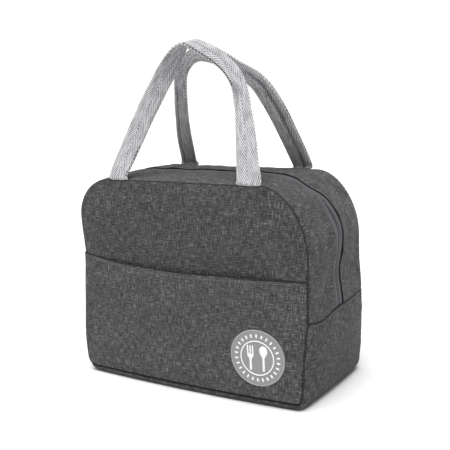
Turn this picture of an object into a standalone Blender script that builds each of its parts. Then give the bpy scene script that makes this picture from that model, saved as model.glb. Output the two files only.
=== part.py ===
"""Soft insulated lunch bag with a front pocket, two webbing handles and a zipped top.

Units are metres. +X is the bag's right side as seen from the front, -Y is the front
and +Z is up. The origin is on the floor, under the middle of the base.

The walls are three layers, fabric outside, foam in the middle and foil lining inside.
Above the side seam the bag opens like a purse: the front half and the back half each
fold outwards about a line at the height of that seam, so each panel is modelled as a
lower piece on the body and an upper piece on the half that folds.
"""

import math

import bmesh
import bpy
from mathutils import Vector

# Driving dimensions of the body
GAP = 0.0003                 # clearance between neighbouring pieces
Z_FOLD = 0.077               # side seam, where the upper halves fold outwards
Z_TOP = 0.1863               # top seam of the front and back panels
Z_BASE_SEAM = 0.007          # bottom seam of the front and back panels
Y_PANEL = 0.0572             # outer face of the front and back panels
MID_LEFT = 0.1145            # half widths at and above the waist
MID_RIGHT = 0.1155
BASE_LEFT = 0.1130           # half widths at the bottom seam
BASE_RIGHT = 0.1085
Z_WAIST = 0.090              # the sides are upright above this height
BASE_CORNER = 0.008          # radius of the panel's bottom corners
SIDE_CROWN = 0.003           # how far the gusset stands out between its seams
BASE_CROWN = Z_BASE_SEAM     # the base bulges down to the floor
BASE_FLAT = 0.048            # half depth of the flat part of the base

# Wall layers, measured inwards from the outer surface
FABRIC = 0.0008
FOAM_OUT = FABRIC + GAP
FOAM_IN = FOAM_OUT + 0.003
LINING_OUT = FOAM_IN + GAP
LINING_IN = LINING_OUT + 0.0004
BINDING_OUT = LINING_IN + GAP
BINDING_IN = BINDING_OUT + 0.0012
BINDING_WIDTH = 0.008

# Where each layer of the gusset starts, behind the matching layer of the panel
Y_SEAM = Y_PANEL - FABRIC - GAP
Y_FOAM = Y_PANEL - FOAM_IN - GAP
Y_LINING = Y_PANEL - LINING_IN - GAP

# Zip
ZIP_OPENING = 0.0042         # half width of the slot in the fabric
TAPE_EDGE = 0.0122           # outer edge of each zip tape
COIL_OUTER = 0.0019          # each coil runs between these two distances from the middle
COIL_INNER = 0.0006
TAPE_OUT = FABRIC + GAP
TAPE_IN = TAPE_OUT + 0.0006
COIL_OUT = 0.0006
COIL_IN = 0.0022
Z_SLIDER = 0.085
SLIDER_LENGTH = 0.010
SLIDER_HALF_WIDTH = 0.0038
SLIDER_TOP = 0.002           # height of the slider's outer plate over the fabric
PIN_HEIGHT = 0.0022          # pin axis over the outer plate
PIN_RADIUS = 0.0007
EYE_RADIUS = 0.0018
EYE_HOLE = 0.001
TAB_LENGTH = 0.024
TAB_NECK = 0.0065
TAB_THICKNESS = 0.0014
TAB_HALF_NECK = 0.0018
TAB_HALF_WIDTH = 0.0035
TAB_TAPER = 0.003
EAR_IN = 0.0023              # the ears on the slider that hold the pin
EAR_OUT = 0.0033
PLATE_CLEARANCE = 0.0002
LOWER_PLATE = 0.0004, 0.0016 # faces of the slider's inner plate, under the coil

# Pocket and badge
POCKET_EASE = 0.007          # how far the pocket stands off the panel at its mouth
POCKET_TOP = 0.1078
POCKET_MARGIN = 0.001
POCKET_RISE_LEFT = 0.0082    # how far the mouth rises from the middle to each side
POCKET_RISE_RIGHT = 0.0040
BADGE_X = 0.0716
BADGE_Z = 0.044
BADGE_RADIUS = 0.0247
BADGE_THICKNESS = 0.0006
RING_INNER = 0.0143
RING_OUTER = 0.0153
RING_THICKNESS = 0.0004

# Handles
WEBBING = 0.025              # webbing width
WEBBING_THICK = 0.0018
GRIP_WIDTH = 0.0132          # width and thickness where the webbing is folded and stitched
GRIP_THICK = 0.004
Z_HANDLE = Z_TOP + 2 * GAP
Y_HANDLE = 0.057

# Joint axes
FRONT_FOLD = Vector((0, -(Y_PANEL + POCKET_EASE), Z_FOLD))
BACK_FOLD = Vector((0, Y_PANEL + GAP, Z_FOLD))
FRONT_SWING = Vector((0, -(Y_HANDLE + WEBBING_THICK / 2), Z_HANDLE - GAP))
BACK_SWING = Vector((0, Y_HANDLE + WEBBING_THICK / 2, Z_HANDLE - GAP))
X_SLIDER = -(MID_LEFT + SIDE_CROWN)
X_PIN = X_SLIDER - SLIDER_TOP - PIN_HEIGHT
SLIDER_ORIGIN = Vector((X_SLIDER, 0, Z_SLIDER))
PIN_ORIGIN = Vector((X_PIN, 0, Z_SLIDER))


# Scene, materials and mesh helpers

for old in list(bpy.data.objects):
    bpy.data.objects.remove(old, do_unlink=True)


def make_material(name, colour, roughness, metallic=0.0):
    material = bpy.data.materials.new(name)
    material.use_nodes = True
    shader = material.node_tree.nodes["Principled BSDF"]
    shader.inputs["Base Color"].default_value = (*colour, 1.0)
    shader.inputs["Roughness"].default_value = roughness
    shader.inputs["Metallic"].default_value = metallic
    return material


MELANGE = make_material("melange_fabric", (0.075, 0.072, 0.073), 0.95)
FOAM = make_material("foam", (0.85, 0.85, 0.83), 0.9)
FOIL = make_material("foil_lining", (0.72, 0.73, 0.75), 0.3, 0.9)
BINDING = make_material("binding", (0.05, 0.05, 0.055), 0.9)
ZIP_TAPE = make_material("zip_tape", (0.10, 0.105, 0.13), 0.8)
ZIP_COIL = make_material("zip_coil", (0.08, 0.085, 0.10), 0.45)
ZIP_METAL = make_material("zip_metal", (0.10, 0.10, 0.11), 0.4, 0.8)
WEBBING_CLOTH = make_material("webbing", (0.45, 0.45, 0.46), 0.9)
BADGE_GREY = make_material("badge_grey", (0.30, 0.30, 0.30), 0.6)
BADGE_WHITE = make_material("badge_white", (0.85, 0.85, 0.85), 0.6)


def make_axis(name, place, parent=None):
    """An empty on a joint's axis, which carries that joint's pieces."""
    axis = bpy.data.objects.new(name, None)
    axis.empty_display_size = 0.02
    bpy.context.scene.collection.objects.link(axis)
    if parent:
        axis.parent = parent
        place = place - parent.matrix_world.translation
    axis.location = place
    bpy.context.view_layer.update()
    return axis


BODY = make_axis("bag_body_origin", Vector((0, 0, 0)))
FRONT_HALF = make_axis("front_half_fold_axis", FRONT_FOLD, BODY)
BACK_HALF = make_axis("back_half_fold_axis", BACK_FOLD, BODY)
FRONT_HANDLE = make_axis("front_handle_swing_axis", FRONT_SWING, FRONT_HALF)
BACK_HANDLE = make_axis("back_handle_swing_axis", BACK_SWING, BACK_HALF)
SLIDER = make_axis("slider_axis", SLIDER_ORIGIN, BODY)
PULL = make_axis("pull_tab_axis", PIN_ORIGIN, SLIDER)


def add_object(name, points, faces, material, axis):
    """Make one named object from world coordinates, with its origin on its axis."""
    mesh = bpy.data.meshes.new(name)
    origin = axis.matrix_world.translation
    mesh.from_pydata([Vector(p) - origin for p in points], [], faces)
    shell = bmesh.new()
    shell.from_mesh(mesh)
    bmesh.ops.recalc_face_normals(shell, faces=shell.faces)
    shell.to_mesh(mesh)
    shell.free()
    mesh.materials.append(material)
    mesh.shade_smooth()
    mesh.set_sharp_from_angle(angle=math.radians(40))
    piece = bpy.data.objects.new(name, mesh)
    bpy.context.scene.collection.objects.link(piece)
    piece.parent = axis
    return piece


def shell_from_grids(name, outer, inner, material, axis, wrap=False):
    """Close two matching grids of points into one thin solid.

    With wrap, each row is a closed loop.
    """
    rows, columns = len(outer), len(outer[0])
    points = [p for grid in (outer, inner) for row in grid for p in row]
    half = rows * columns

    def at(layer, r, c):
        return layer * half + r * columns + c % columns

    faces = []
    spans = columns if wrap else columns - 1
    for r in range(rows - 1):
        for c in range(spans):
            faces.append([at(0, r, c), at(0, r, c + 1), at(0, r + 1, c + 1), at(0, r + 1, c)])
            faces.append([at(1, r, c), at(1, r + 1, c), at(1, r + 1, c + 1), at(1, r, c + 1)])
    for r in (0, rows - 1):
        for c in range(spans):
            faces.append([at(0, r, c), at(1, r, c), at(1, r, c + 1), at(0, r, c + 1)])
    if not wrap:
        for c in (0, columns - 1):
            for r in range(rows - 1):
                faces.append([at(0, r, c), at(0, r + 1, c), at(1, r + 1, c), at(1, r, c)])
    return add_object(name, points, faces, material, axis)


def plate(name, outline, y_front, y_back, material, axis):
    """A flat plate standing in the XZ plane between two depths."""
    count = len(outline)
    points = [(x, y_front, z) for x, z in outline] + [(x, y_back, z) for x, z in outline]
    faces = [list(range(count)), list(range(2 * count - 1, count - 1, -1))]
    for i in range(count):
        j = (i + 1) % count
        faces.append([i, j, count + j, count + i])
    return add_object(name, points, faces, material, axis)


def prism(name, profile, low, high, direction, material, axis):
    """Extrude a closed profile along Y or Z. Profile points are (x, y) or (x, z)."""
    count = len(profile)
    if direction == "Z":
        points = [(a, b, h) for h in (low, high) for a, b in profile]
    else:
        points = [(a, h, b) for h in (low, high) for a, b in profile]
    faces = [list(range(count)), list(range(2 * count - 1, count - 1, -1))]
    for i in range(count):
        j = (i + 1) % count
        faces.append([i, j, count + j, count + i])
    return add_object(name, points, faces, material, axis)


def circle(centre_a, centre_b, radius, count):
    steps = [2 * math.pi * i / count for i in range(count)]
    return [(centre_a + radius * math.cos(t), centre_b + radius * math.sin(t)) for t in steps]


def boolean(piece, cutter, operation):
    """Join or cut with a helper solid, which is left out of the build."""
    cutter.hide_render = True
    cutter.display_type = "WIRE"
    modifier = piece.modifiers.new(operation.lower(), "BOOLEAN")
    modifier.operation = operation
    modifier.solver = "EXACT"
    modifier.object = cutter


# Outline of the body, seen from the front

def side_x(z, side):
    """Half width of the panel at a height, on the left (-1) or the right (+1)."""
    middle, base = (MID_LEFT, BASE_LEFT) if side < 0 else (MID_RIGHT, BASE_RIGHT)
    drop = max(0.0, (Z_WAIST - z) / (Z_WAIST - Z_BASE_SEAM))
    x = middle - (middle - base) * drop ** 2
    corner_top = Z_BASE_SEAM + BASE_CORNER
    if z < corner_top:
        inside = min(1.0, (corner_top - z) / BASE_CORNER)
        x -= BASE_CORNER * (1 - math.sqrt(1 - inside ** 2))
    return side * x


# Top corners: where the flat top ends, how tall the corner is, and how round
TOP_CORNERS = {-1: (0.079, 0.036, 2.0), 1: (0.076, 0.055, 1.8)}
CORNER_STEPS = 10


def top_corner(side):
    """Points of a top corner, from the side up to the top edge."""
    start_x, height, power = TOP_CORNERS[side]
    reach = abs(side_x(Z_TOP - height, side)) - start_x
    points = []
    for i in range(CORNER_STEPS + 1):
        t = math.pi / 2 * i / CORNER_STEPS
        x = start_x + reach * math.cos(t) ** (2 / power)
        z = Z_TOP - height + height * math.sin(t) ** (2 / power)
        points.append((side * x, z))
    return points


def base_corner(side):
    """Points of a bottom corner, from the side down to the bottom seam."""
    points = []
    for i in range(6):
        t = math.pi / 2 * i / 5
        z = Z_BASE_SEAM + BASE_CORNER * (1 - math.sin(t))
        points.append((side_x(z, side), z))
    return points


def rising_side(side, low, high, steps):
    heights = [low + (high - low) * i / steps for i in range(steps)]
    return [(side_x(z, side), z) for z in heights]


def upper_path():
    """Left side, top and right side above the fold, going clockwise."""
    low = Z_FOLD + GAP / 2
    left, right = top_corner(-1), top_corner(1)
    path = rising_side(-1, low, left[0][1], 4) + left
    path += [(left[-1][0] / 3, Z_TOP), (right[-1][0] / 3, Z_TOP)]
    path += right[::-1] + rising_side(1, low, right[0][1], 4)[::-1]
    return path


def lower_path():
    """Right side, base and left side below the fold, going clockwise."""
    high = Z_FOLD - GAP / 2
    low = Z_BASE_SEAM + BASE_CORNER
    left, right = base_corner(-1), base_corner(1)
    path = rising_side(1, low, high, 5)[1:][::-1]
    path = [(side_x(high, 1), high)] + path + right
    path += [(right[-1][0] / 3, Z_BASE_SEAM), (left[-1][0] / 3, Z_BASE_SEAM)]
    path += left[::-1] + rising_side(-1, low, high, 5)[1:]
    return path + [(side_x(high, -1), high)]


def normals(path):
    """Outward normals of a clockwise path. The two ends point straight out sideways."""
    result = []
    for i, point in enumerate(path):
        if i in (0, len(path) - 1):
            result.append((math.copysign(1.0, point[0]), 0.0))
            continue
        before, after = path[i - 1], path[i + 1]
        along = Vector((after[0] - before[0], after[1] - before[1])).normalized()
        result.append((-along[1], along[0]))
    return result


def inset(path, depth):
    """The path moved inwards, as the outline of an inner layer."""
    return [(p[0] - n[0] * depth, p[1] - n[1] * depth) for p, n in zip(path, normals(path))]


def crown(normal, y):
    """How far the gusset stands out of its seams at a depth across the bag."""
    side = SIDE_CROWN * (1 - (y / Y_SEAM) ** 2)
    if normal[1] >= 0:
        return side
    beyond = max(0.0, (abs(y) - BASE_FLAT) / (Y_SEAM - BASE_FLAT))
    base = BASE_CROWN * math.sqrt(max(0.0, 1 - beyond ** 2))
    return side * normal[0] ** 2 + base * normal[1] ** 2


def spread(low, high, steps):
    return [low + (high - low) * i / steps for i in range(steps + 1)]


def strip(name, path, depths, y_values, material, axis):
    """A layer of the gusset: a path swept across the bag between two wall depths."""
    grids = []
    for depth in depths:
        grid = []
        for point, normal in zip(path, normals(path)):
            row = []
            for y in y_values:
                out = crown(normal, y) - depth
                row.append((point[0] + normal[0] * out, y, point[1] + normal[1] * out))
            grid.append(row)
        grids.append(grid)
    return shell_from_grids(name, grids[0], grids[1], material, axis)


# Walls

UPPER = upper_path()
LOWER = lower_path()
FABRIC_LAYER = (0.0, FABRIC)
FOAM_LAYER = (FOAM_OUT, FOAM_IN)
LINING_LAYER = (LINING_OUT, LINING_IN)
BINDING_LAYER = (BINDING_OUT, BINDING_IN)


def base_depths(edge):
    """Depth stations across the lower gusset, closer together where it rounds under."""
    round_part = spread(BASE_FLAT, edge, 4)
    return [-y for y in round_part[::-1]] + spread(-BASE_FLAT, BASE_FLAT, 6)[1:-1] + round_part


def panel_layers(face, side):
    """Outer panel, foam and lining of the front (side -1) or the back (side +1)."""
    half_axis = FRONT_HALF if side < 0 else BACK_HALF
    for part, path, axis in (("lower", LOWER, BODY), ("upper", UPPER, half_axis)):
        plate(f"{face}_panel_{part}", path, side * Y_PANEL, side * (Y_PANEL - FABRIC),
              MELANGE, axis)
        plate(f"foam_{face}_{part}", inset(path, FOAM_OUT), side * (Y_PANEL - FOAM_OUT),
              side * (Y_PANEL - FOAM_IN), FOAM, axis)
        plate(f"lining_{face}_{part}", inset(path, LINING_OUT), side * (Y_PANEL - LINING_OUT),
              side * (Y_PANEL - LINING_IN), FOIL, axis)
        y_binding = [side * y for y in spread(Y_LINING, BASE_FLAT, 4)]
        y_binding.append(side * (Y_LINING - BINDING_WIDTH))
        strip(f"seam_binding_{face}_{part}", path, BINDING_LAYER, y_binding, BINDING, axis)


def lower_gusset():
    strip("gusset_lower", LOWER, FABRIC_LAYER, base_depths(Y_SEAM), MELANGE, BODY)
    strip("foam_gusset_lower", LOWER, FOAM_LAYER, base_depths(Y_FOAM), FOAM, BODY)
    strip("lining_gusset_lower", LOWER, LINING_LAYER, base_depths(Y_LINING), FOIL, BODY)


def upper_gusset(face, side):
    """Gusset, foam, lining, zip tape and zip coil of one half of the mouth."""
    axis = FRONT_HALF if side < 0 else BACK_HALF
    foam_end = TAPE_EDGE + GAP
    layers = (
        (f"gusset_upper_{face}", FABRIC_LAYER, Y_SEAM, ZIP_OPENING, 5, MELANGE),
        (f"foam_gusset_{face}", FOAM_LAYER, Y_FOAM, foam_end, 4, FOAM),
        (f"lining_gusset_{face}", LINING_LAYER, Y_LINING, foam_end, 4, FOIL),
        (f"zip_tape_{face}", (TAPE_OUT, TAPE_IN), TAPE_EDGE, COIL_OUTER + GAP, 1, ZIP_TAPE),
        (f"zip_coil_{face}", (COIL_OUT, COIL_IN), COIL_OUTER, COIL_INNER, 1, ZIP_COIL),
    )
    for name, layer, edge, middle, steps, material in layers:
        strip(name, UPPER, layer, spread(side * edge, side * middle, steps), material, axis)


# Pocket and badge

def pocket_mouth(x):
    """Height of the pocket's open edge, which dips in the middle."""
    if x < 0:
        return POCKET_TOP + POCKET_RISE_LEFT * (x / MID_LEFT) ** 2
    return POCKET_TOP + POCKET_RISE_RIGHT * (x / MID_RIGHT)


def pocket_ease(x, z):
    """Distance between the panel and the inside of the pocket."""
    across = max(0.0, 1 - (x / (MID_LEFT - POCKET_MARGIN)) ** 2)
    height = max(0.0, (z - Z_BASE_SEAM) / (POCKET_TOP - Z_BASE_SEAM))
    return min(POCKET_EASE, POCKET_EASE * across * height ** 0.6) - FABRIC * across


def pocket_face(x, z):
    """Depth of the pocket's inner face."""
    return -(Y_PANEL + GAP + max(0.0, pocket_ease(x, z)))


def pocket_piece(name, low, high, rows, axis):
    columns = 14
    inner, outer = [], []
    for r in range(rows + 1):
        front_row, back_row = [], []
        for c in range(columns + 1):
            u = c / columns
            bottom, top = low, high
            if high > POCKET_TOP:
                top = pocket_mouth((2 * u - 1) * MID_LEFT)
            z = bottom + (top - bottom) * r / rows
            left = side_x(z, -1) + POCKET_MARGIN
            right = side_x(z, 1) - POCKET_MARGIN
            x = left + (right - left) * u
            back_row.append((x, pocket_face(x, z), z))
            front_row.append((x, pocket_face(x, z) - FABRIC, z))
        outer.append(front_row)
        inner.append(back_row)
    return shell_from_grids(name, outer, inner, MELANGE, axis)


def badge():
    """A round badge laid on the pocket, with a raised ring on it."""
    segments = 32

    def rings(radii, height):
        grid = []
        for radius in radii:
            loop = circle(BADGE_X, BADGE_Z, radius, segments)
            grid.append([(x, pocket_face(x, z) - FABRIC - height, z) for x, z in loop])
        return grid

    def disc(name, radius, low, high, material):
        radii = [radius, radius * 2 / 3, radius / 3]
        loops = rings(radii, high) + rings(radii[::-1], low)
        points = [p for loop in loops for p in loop]
        faces = []
        for r in range(len(loops) - 1):
            if r == len(radii) - 1:
                continue
            for c in range(segments):
                d = (c + 1) % segments
                faces.append([r * segments + c, r * segments + d,
                              (r + 1) * segments + d, (r + 1) * segments + c])
        last = (len(loops) - 1) * segments
        for c in range(segments):
            d = (c + 1) % segments
            faces.append([c, last + c, last + d, d])
        front_cap = (len(radii) - 1) * segments
        faces.append([front_cap + c for c in range(segments)])
        faces.append([front_cap + segments + c for c in reversed(range(segments))])
        return add_object(name, points, faces, material, BODY)

    disc("badge_disc", BADGE_RADIUS, GAP, GAP + BADGE_THICKNESS, BADGE_GREY)
    low = 2 * GAP + BADGE_THICKNESS
    radii = (RING_INNER, RING_OUTER)
    shell_from_grids("badge_ring", rings(radii, low + RING_THICKNESS), rings(radii, low),
                     BADGE_WHITE, BODY, wrap=True)


# Zip slider and its pull tab

def zip_slider():
    """Two plates joined by a thin web that runs between the coils, ears and a pin."""
    outer_face = X_SLIDER - SLIDER_TOP
    ear_top = X_PIN - PIN_RADIUS - GAP
    web = COIL_INNER / 2
    plate_in = X_SLIDER + PLATE_CLEARANCE
    lower_plate = [X_SLIDER + COIL_IN + depth for depth in LOWER_PLATE]
    half = [(ear_top, EAR_IN), (ear_top, EAR_OUT), (outer_face, EAR_OUT),
            (outer_face, SLIDER_HALF_WIDTH), (plate_in, SLIDER_HALF_WIDTH), (plate_in, web),
            (lower_plate[0], web), (lower_plate[0], SLIDER_HALF_WIDTH),
            (lower_plate[1], SLIDER_HALF_WIDTH)]
    profile = half + [(x, -y) for x, y in reversed(half)] + [(outer_face, -EAR_IN),
                                                             (outer_face, EAR_IN)]
    low, high = Z_SLIDER - SLIDER_LENGTH / 2, Z_SLIDER + SLIDER_LENGTH / 2
    slider = prism("zip_slider", profile, low, high, "Z", ZIP_METAL, SLIDER)
    pin_outline = circle(X_PIN, Z_SLIDER, PIN_RADIUS, 12)
    pin = prism("pin_join", pin_outline, -EAR_OUT + GAP, EAR_OUT - GAP, "Y", ZIP_METAL, SLIDER)
    boolean(slider, pin, "UNION")


def pull_tab():
    """A tab hanging on the slider's pin by an eye."""
    neck, wide = TAB_HALF_NECK, TAB_HALF_WIDTH
    eye = prism("zip_pull_tab", circle(X_PIN, Z_SLIDER, EYE_RADIUS, 20), -neck, neck, "Y",
                ZIP_METAL, PULL)
    side = [(neck, -EYE_HOLE - GAP), (neck, -TAB_NECK), (wide, -TAB_NECK - TAB_TAPER)]
    end = TAB_LENGTH - wide
    arc = [math.pi / 2 * i / 6 for i in range(7)]
    side += [(wide * math.cos(t), -end - wide * math.sin(t)) for t in arc[:-1]]
    outline = side + [(0.0, -TAB_LENGTH)] + [(-y, z) for y, z in reversed(side)]
    count = len(outline)
    points = [(X_PIN + s * TAB_THICKNESS / 2, y, Z_SLIDER + z)
              for s in (-1, 1) for y, z in outline]
    faces = [list(range(count)), list(range(2 * count - 1, count - 1, -1))]
    faces += [[i, (i + 1) % count, count + (i + 1) % count, count + i] for i in range(count)]
    blade = add_object("tab_join", points, faces, ZIP_METAL, PULL)
    hole = prism("eye_cut", circle(X_PIN, Z_SLIDER, EYE_HOLE, 16), -wide, wide, "Y",
                 ZIP_METAL, PULL)
    boolean(eye, blade, "UNION")
    boolean(eye, hole, "DIFFERENCE")


# Handles

# Route of each handle's middle line, from the left foot over the top to the right foot.
# Both start upright at the top seam and lean to the middle of the bag, bowing left.
FRONT_ROUTE = [(-0.0670, -0.0570, 0.1869), (-0.0667, -0.0552, 0.1920),
               (-0.0604, -0.0460, 0.2130), (-0.0517, -0.0365, 0.2380),
               (-0.0425, -0.0275, 0.2610), (-0.0315, -0.0185, 0.2845),
               (-0.0192, -0.0118, 0.3022), (0.0005, -0.0130, 0.2965),
               (0.0220, -0.0178, 0.2852), (0.0390, -0.0243, 0.2685),
               (0.0495, -0.0345, 0.2430), (0.0570, -0.0450, 0.2170),
               (0.0636, -0.0552, 0.1920), (0.0640, -0.0570, 0.1869)]
BACK_ROUTE = [(-0.0655, 0.0570, 0.1869), (-0.0656, 0.0560, 0.1920),
              (-0.0612, 0.0440, 0.2110), (-0.0550, 0.0315, 0.2350),
              (-0.0487, 0.0215, 0.2575), (-0.0400, 0.0120, 0.2800),
              (-0.0195, 0.0050, 0.2932), (0.0025, 0.0040, 0.2902),
              (0.0203, 0.0080, 0.2795), (0.0378, 0.0150, 0.2664),
              (0.0475, 0.0270, 0.2445), (0.0540, 0.0395, 0.2205),
              (0.0594, 0.0560, 0.1920), (0.0597, 0.0570, 0.1869)]
# How each handle is turned and folded: half turns made over the top, how much of the fold is
# closed on its left stretch, its crown and its right stretch, where it closes and where it opens
FRONT_SHAPE = (1, 0.64, 1.0, 0.17, 0.41, 0.55, 0.70, 0.97)
BACK_SHAPE = (0, 0.50, 0.95, 0.44, 0.08, 0.34, 0.61, 0.80)
CROWN_START, CROWN_END = 0.30, 0.60
FOOT_FLARE, FLARE_END = 0.30, 0.08
FIRST_TURN = 0.15            # shares of the turn made below the crown on each side
LAST_TURN = 0.15
ROUTE_STEPS = 4


def smooth_route(route):
    """Points on a smooth curve through the route's points."""
    stops = [Vector(p) for p in route]
    stops = [2 * stops[0] - stops[1]] + stops + [2 * stops[-1] - stops[-2]]
    points = []
    for i in range(1, len(stops) - 2):
        a, b, c, d = stops[i - 1:i + 3]
        for k in range(ROUTE_STEPS):
            t = k / ROUTE_STEPS
            points.append(0.5 * (2 * b + (c - a) * t + (2 * a - 5 * b + 4 * c - d) * t ** 2
                                 + (3 * b - a - 3 * c + d) * t ** 3))
    return points + [stops[-2]]


def smoothstep(low, high, value):
    t = min(1.0, max(0.0, (value - low) / (high - low)))
    return t * t * (3 - 2 * t)


def fold_at(s, left, crown, right, closes, closed, opens, opened):
    """How far the webbing's width is folded in: 0 is flat, 1 is the narrowest grip."""
    if s < CROWN_END:
        closing = (crown - left) * smoothstep(closes, closed, s)
        return left + closing - FOOT_FLARE * (1 - smoothstep(0, FLARE_END, s))
    return crown + (right - crown) * smoothstep(opens, opened, s)


def handle(name, route, side, shape, axis):
    """Webbing swept along the route, flat at the feet and folded narrow at the grip."""
    turns, *folds = shape
    points = smooth_route(route)
    last = len(points) - 1
    grid = []
    for i, point in enumerate(points):
        s = i / last
        along = (points[min(i + 1, last)] - points[max(i - 1, 0)]).normalized()
        upright = Vector((0, 0, 1 if s < 0.5 else -1))       # the feet stay level
        along = upright.lerp(along, smoothstep(0, FLARE_END, min(s, 1 - s))).normalized()
        facing = Vector((0, side, 0))
        facing = (facing - along * facing.dot(along)).normalized()
        outward = along.cross(facing) * side
        turn = turns * math.pi * (
            FIRST_TURN * smoothstep(0, CROWN_START, s)
            + (1 - FIRST_TURN - LAST_TURN) * smoothstep(CROWN_START, CROWN_END, s)
            + LAST_TURN * smoothstep(CROWN_END, 1, s))
        face_dir = facing * math.cos(turn) - outward * math.sin(turn)
        width_dir = along.cross(face_dir)
        fold = fold_at(s, *folds)
        half_width = (WEBBING + (GRIP_WIDTH - WEBBING) * fold) / 2
        half_thick = (WEBBING_THICK + (GRIP_THICK - WEBBING_THICK) * fold) / 2
        grid.append([point + width_dir * half_width * a + face_dir * half_thick * b
                     for a, b in ((-1, -1), (1, -1), (1, 1), (-1, 1))])
    solid = [p for row in grid for p in row]
    faces = [[0, 1, 2, 3], [4 * last + k for k in (3, 2, 1, 0)]]
    for r in range(last):
        for c in range(4):
            d = (c + 1) % 4
            faces.append([4 * r + c, 4 * r + d, 4 * r + 4 + d, 4 * r + 4 + c])
    return add_object(name, solid, faces, WEBBING_CLOTH, axis)


# Build the bag

panel_layers("front", -1)
panel_layers("back", 1)
lower_gusset()
upper_gusset("front", -1)
upper_gusset("back", 1)
pocket_piece("pocket_lower", Z_BASE_SEAM + 2 * GAP, Z_FOLD - GAP / 2, 9, BODY)
pocket_piece("pocket_upper", Z_FOLD + GAP / 2, POCKET_TOP + GAP, 4, FRONT_HALF)
badge()
zip_slider()
pull_tab()
handle("front_handle", FRONT_ROUTE, -1, FRONT_SHAPE, FRONT_HANDLE)
handle("back_handle", BACK_ROUTE, 1, BACK_SHAPE, BACK_HANDLE)
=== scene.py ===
"""Looks of a soft insulated lunch bag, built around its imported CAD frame.

The bag's fabric, foam and lining are grids of points between the same seams as the CAD
part. One cloth simulation puffs the fabric between its seams, and every layer behind
takes the same movement, so the layers never cross. Lengths are in metres.
"""
import math

import bmesh
import bpy
import numpy as np
from mathutils import Matrix, Vector, noise
from mathutils.bvhtree import BVHTree


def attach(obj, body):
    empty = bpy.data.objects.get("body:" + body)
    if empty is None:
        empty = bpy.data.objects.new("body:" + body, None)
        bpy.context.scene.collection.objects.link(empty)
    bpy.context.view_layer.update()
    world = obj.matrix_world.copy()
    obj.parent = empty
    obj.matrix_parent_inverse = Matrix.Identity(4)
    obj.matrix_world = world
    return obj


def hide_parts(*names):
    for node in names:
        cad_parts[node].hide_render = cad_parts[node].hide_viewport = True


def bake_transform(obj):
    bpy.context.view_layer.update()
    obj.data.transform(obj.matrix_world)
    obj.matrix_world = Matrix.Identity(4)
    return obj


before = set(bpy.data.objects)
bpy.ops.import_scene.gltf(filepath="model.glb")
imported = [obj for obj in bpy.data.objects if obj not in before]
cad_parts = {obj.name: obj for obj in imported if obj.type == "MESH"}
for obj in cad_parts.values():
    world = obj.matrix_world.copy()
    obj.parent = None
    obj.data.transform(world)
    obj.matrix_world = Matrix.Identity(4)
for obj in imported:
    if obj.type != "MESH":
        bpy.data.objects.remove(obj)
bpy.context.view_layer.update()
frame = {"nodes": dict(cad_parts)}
FACES = (("front", -1), ("back", 1))

# Dimensions of the CAD part
GAP = 0.0003
Z_FOLD = 0.077
Z_TOP = 0.1863
Z_BASE_SEAM = 0.007
Y_PANEL = 0.0572
Y_SEAM = 0.0561
MID = {-1: 0.1145, 1: 0.1155}
BASE = {-1: 0.1130, 1: 0.1085}
Z_WAIST = 0.090
SIDE_CROWN = 0.003
BASE_CROWN = 0.007
BASE_FLAT = 0.048
FABRIC = 0.0008
FOAM_OUT, FOAM_THICK = 0.0013, 0.0026
LINING_OUT, LINING_THICK = 0.0044, 0.0004
BINDING_OUT, BINDING_THICK, BINDING_WIDTH = 0.0051, 0.0011, 0.008
ZIP_OPENING = 0.0066
TAPE_OUT, TAPE_THICK, TAPE_EDGE = 0.0009, 0.0006, 0.0122
COIL_OUTER = 0.0019
POCKET_EASE, POCKET_TOP, POCKET_MARGIN = 0.007, 0.1078, 0.001
BADGE_X, BADGE_Z, BADGE_RADIUS = 0.0716, 0.044, 0.0247
TOP_CORNERS = {-1: (0.079, 0.036, 2.0), 1: (0.076, 0.055, 1.8)}
WEBBING, WEBBING_THICK = 0.025, 0.0018
GRIP_WIDTH, GRIP_THICK = 0.0132, 0.004

# Points of the fabric grids
BASE_CORNER = 0.0055
ROWS_LOW, ROWS_HIGH, COLUMNS = 18, 27, 60
ROWS = ROWS_LOW + ROWS_HIGH
HALF_STATIONS = 13
POCKET_ROWS = 26
SECTION_POINTS = 32          # round the webbing of a handle

THREAD_PITCH = 0.0011        # of the cloth's weave


# ---------------------------------------------------------------- node materials

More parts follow.
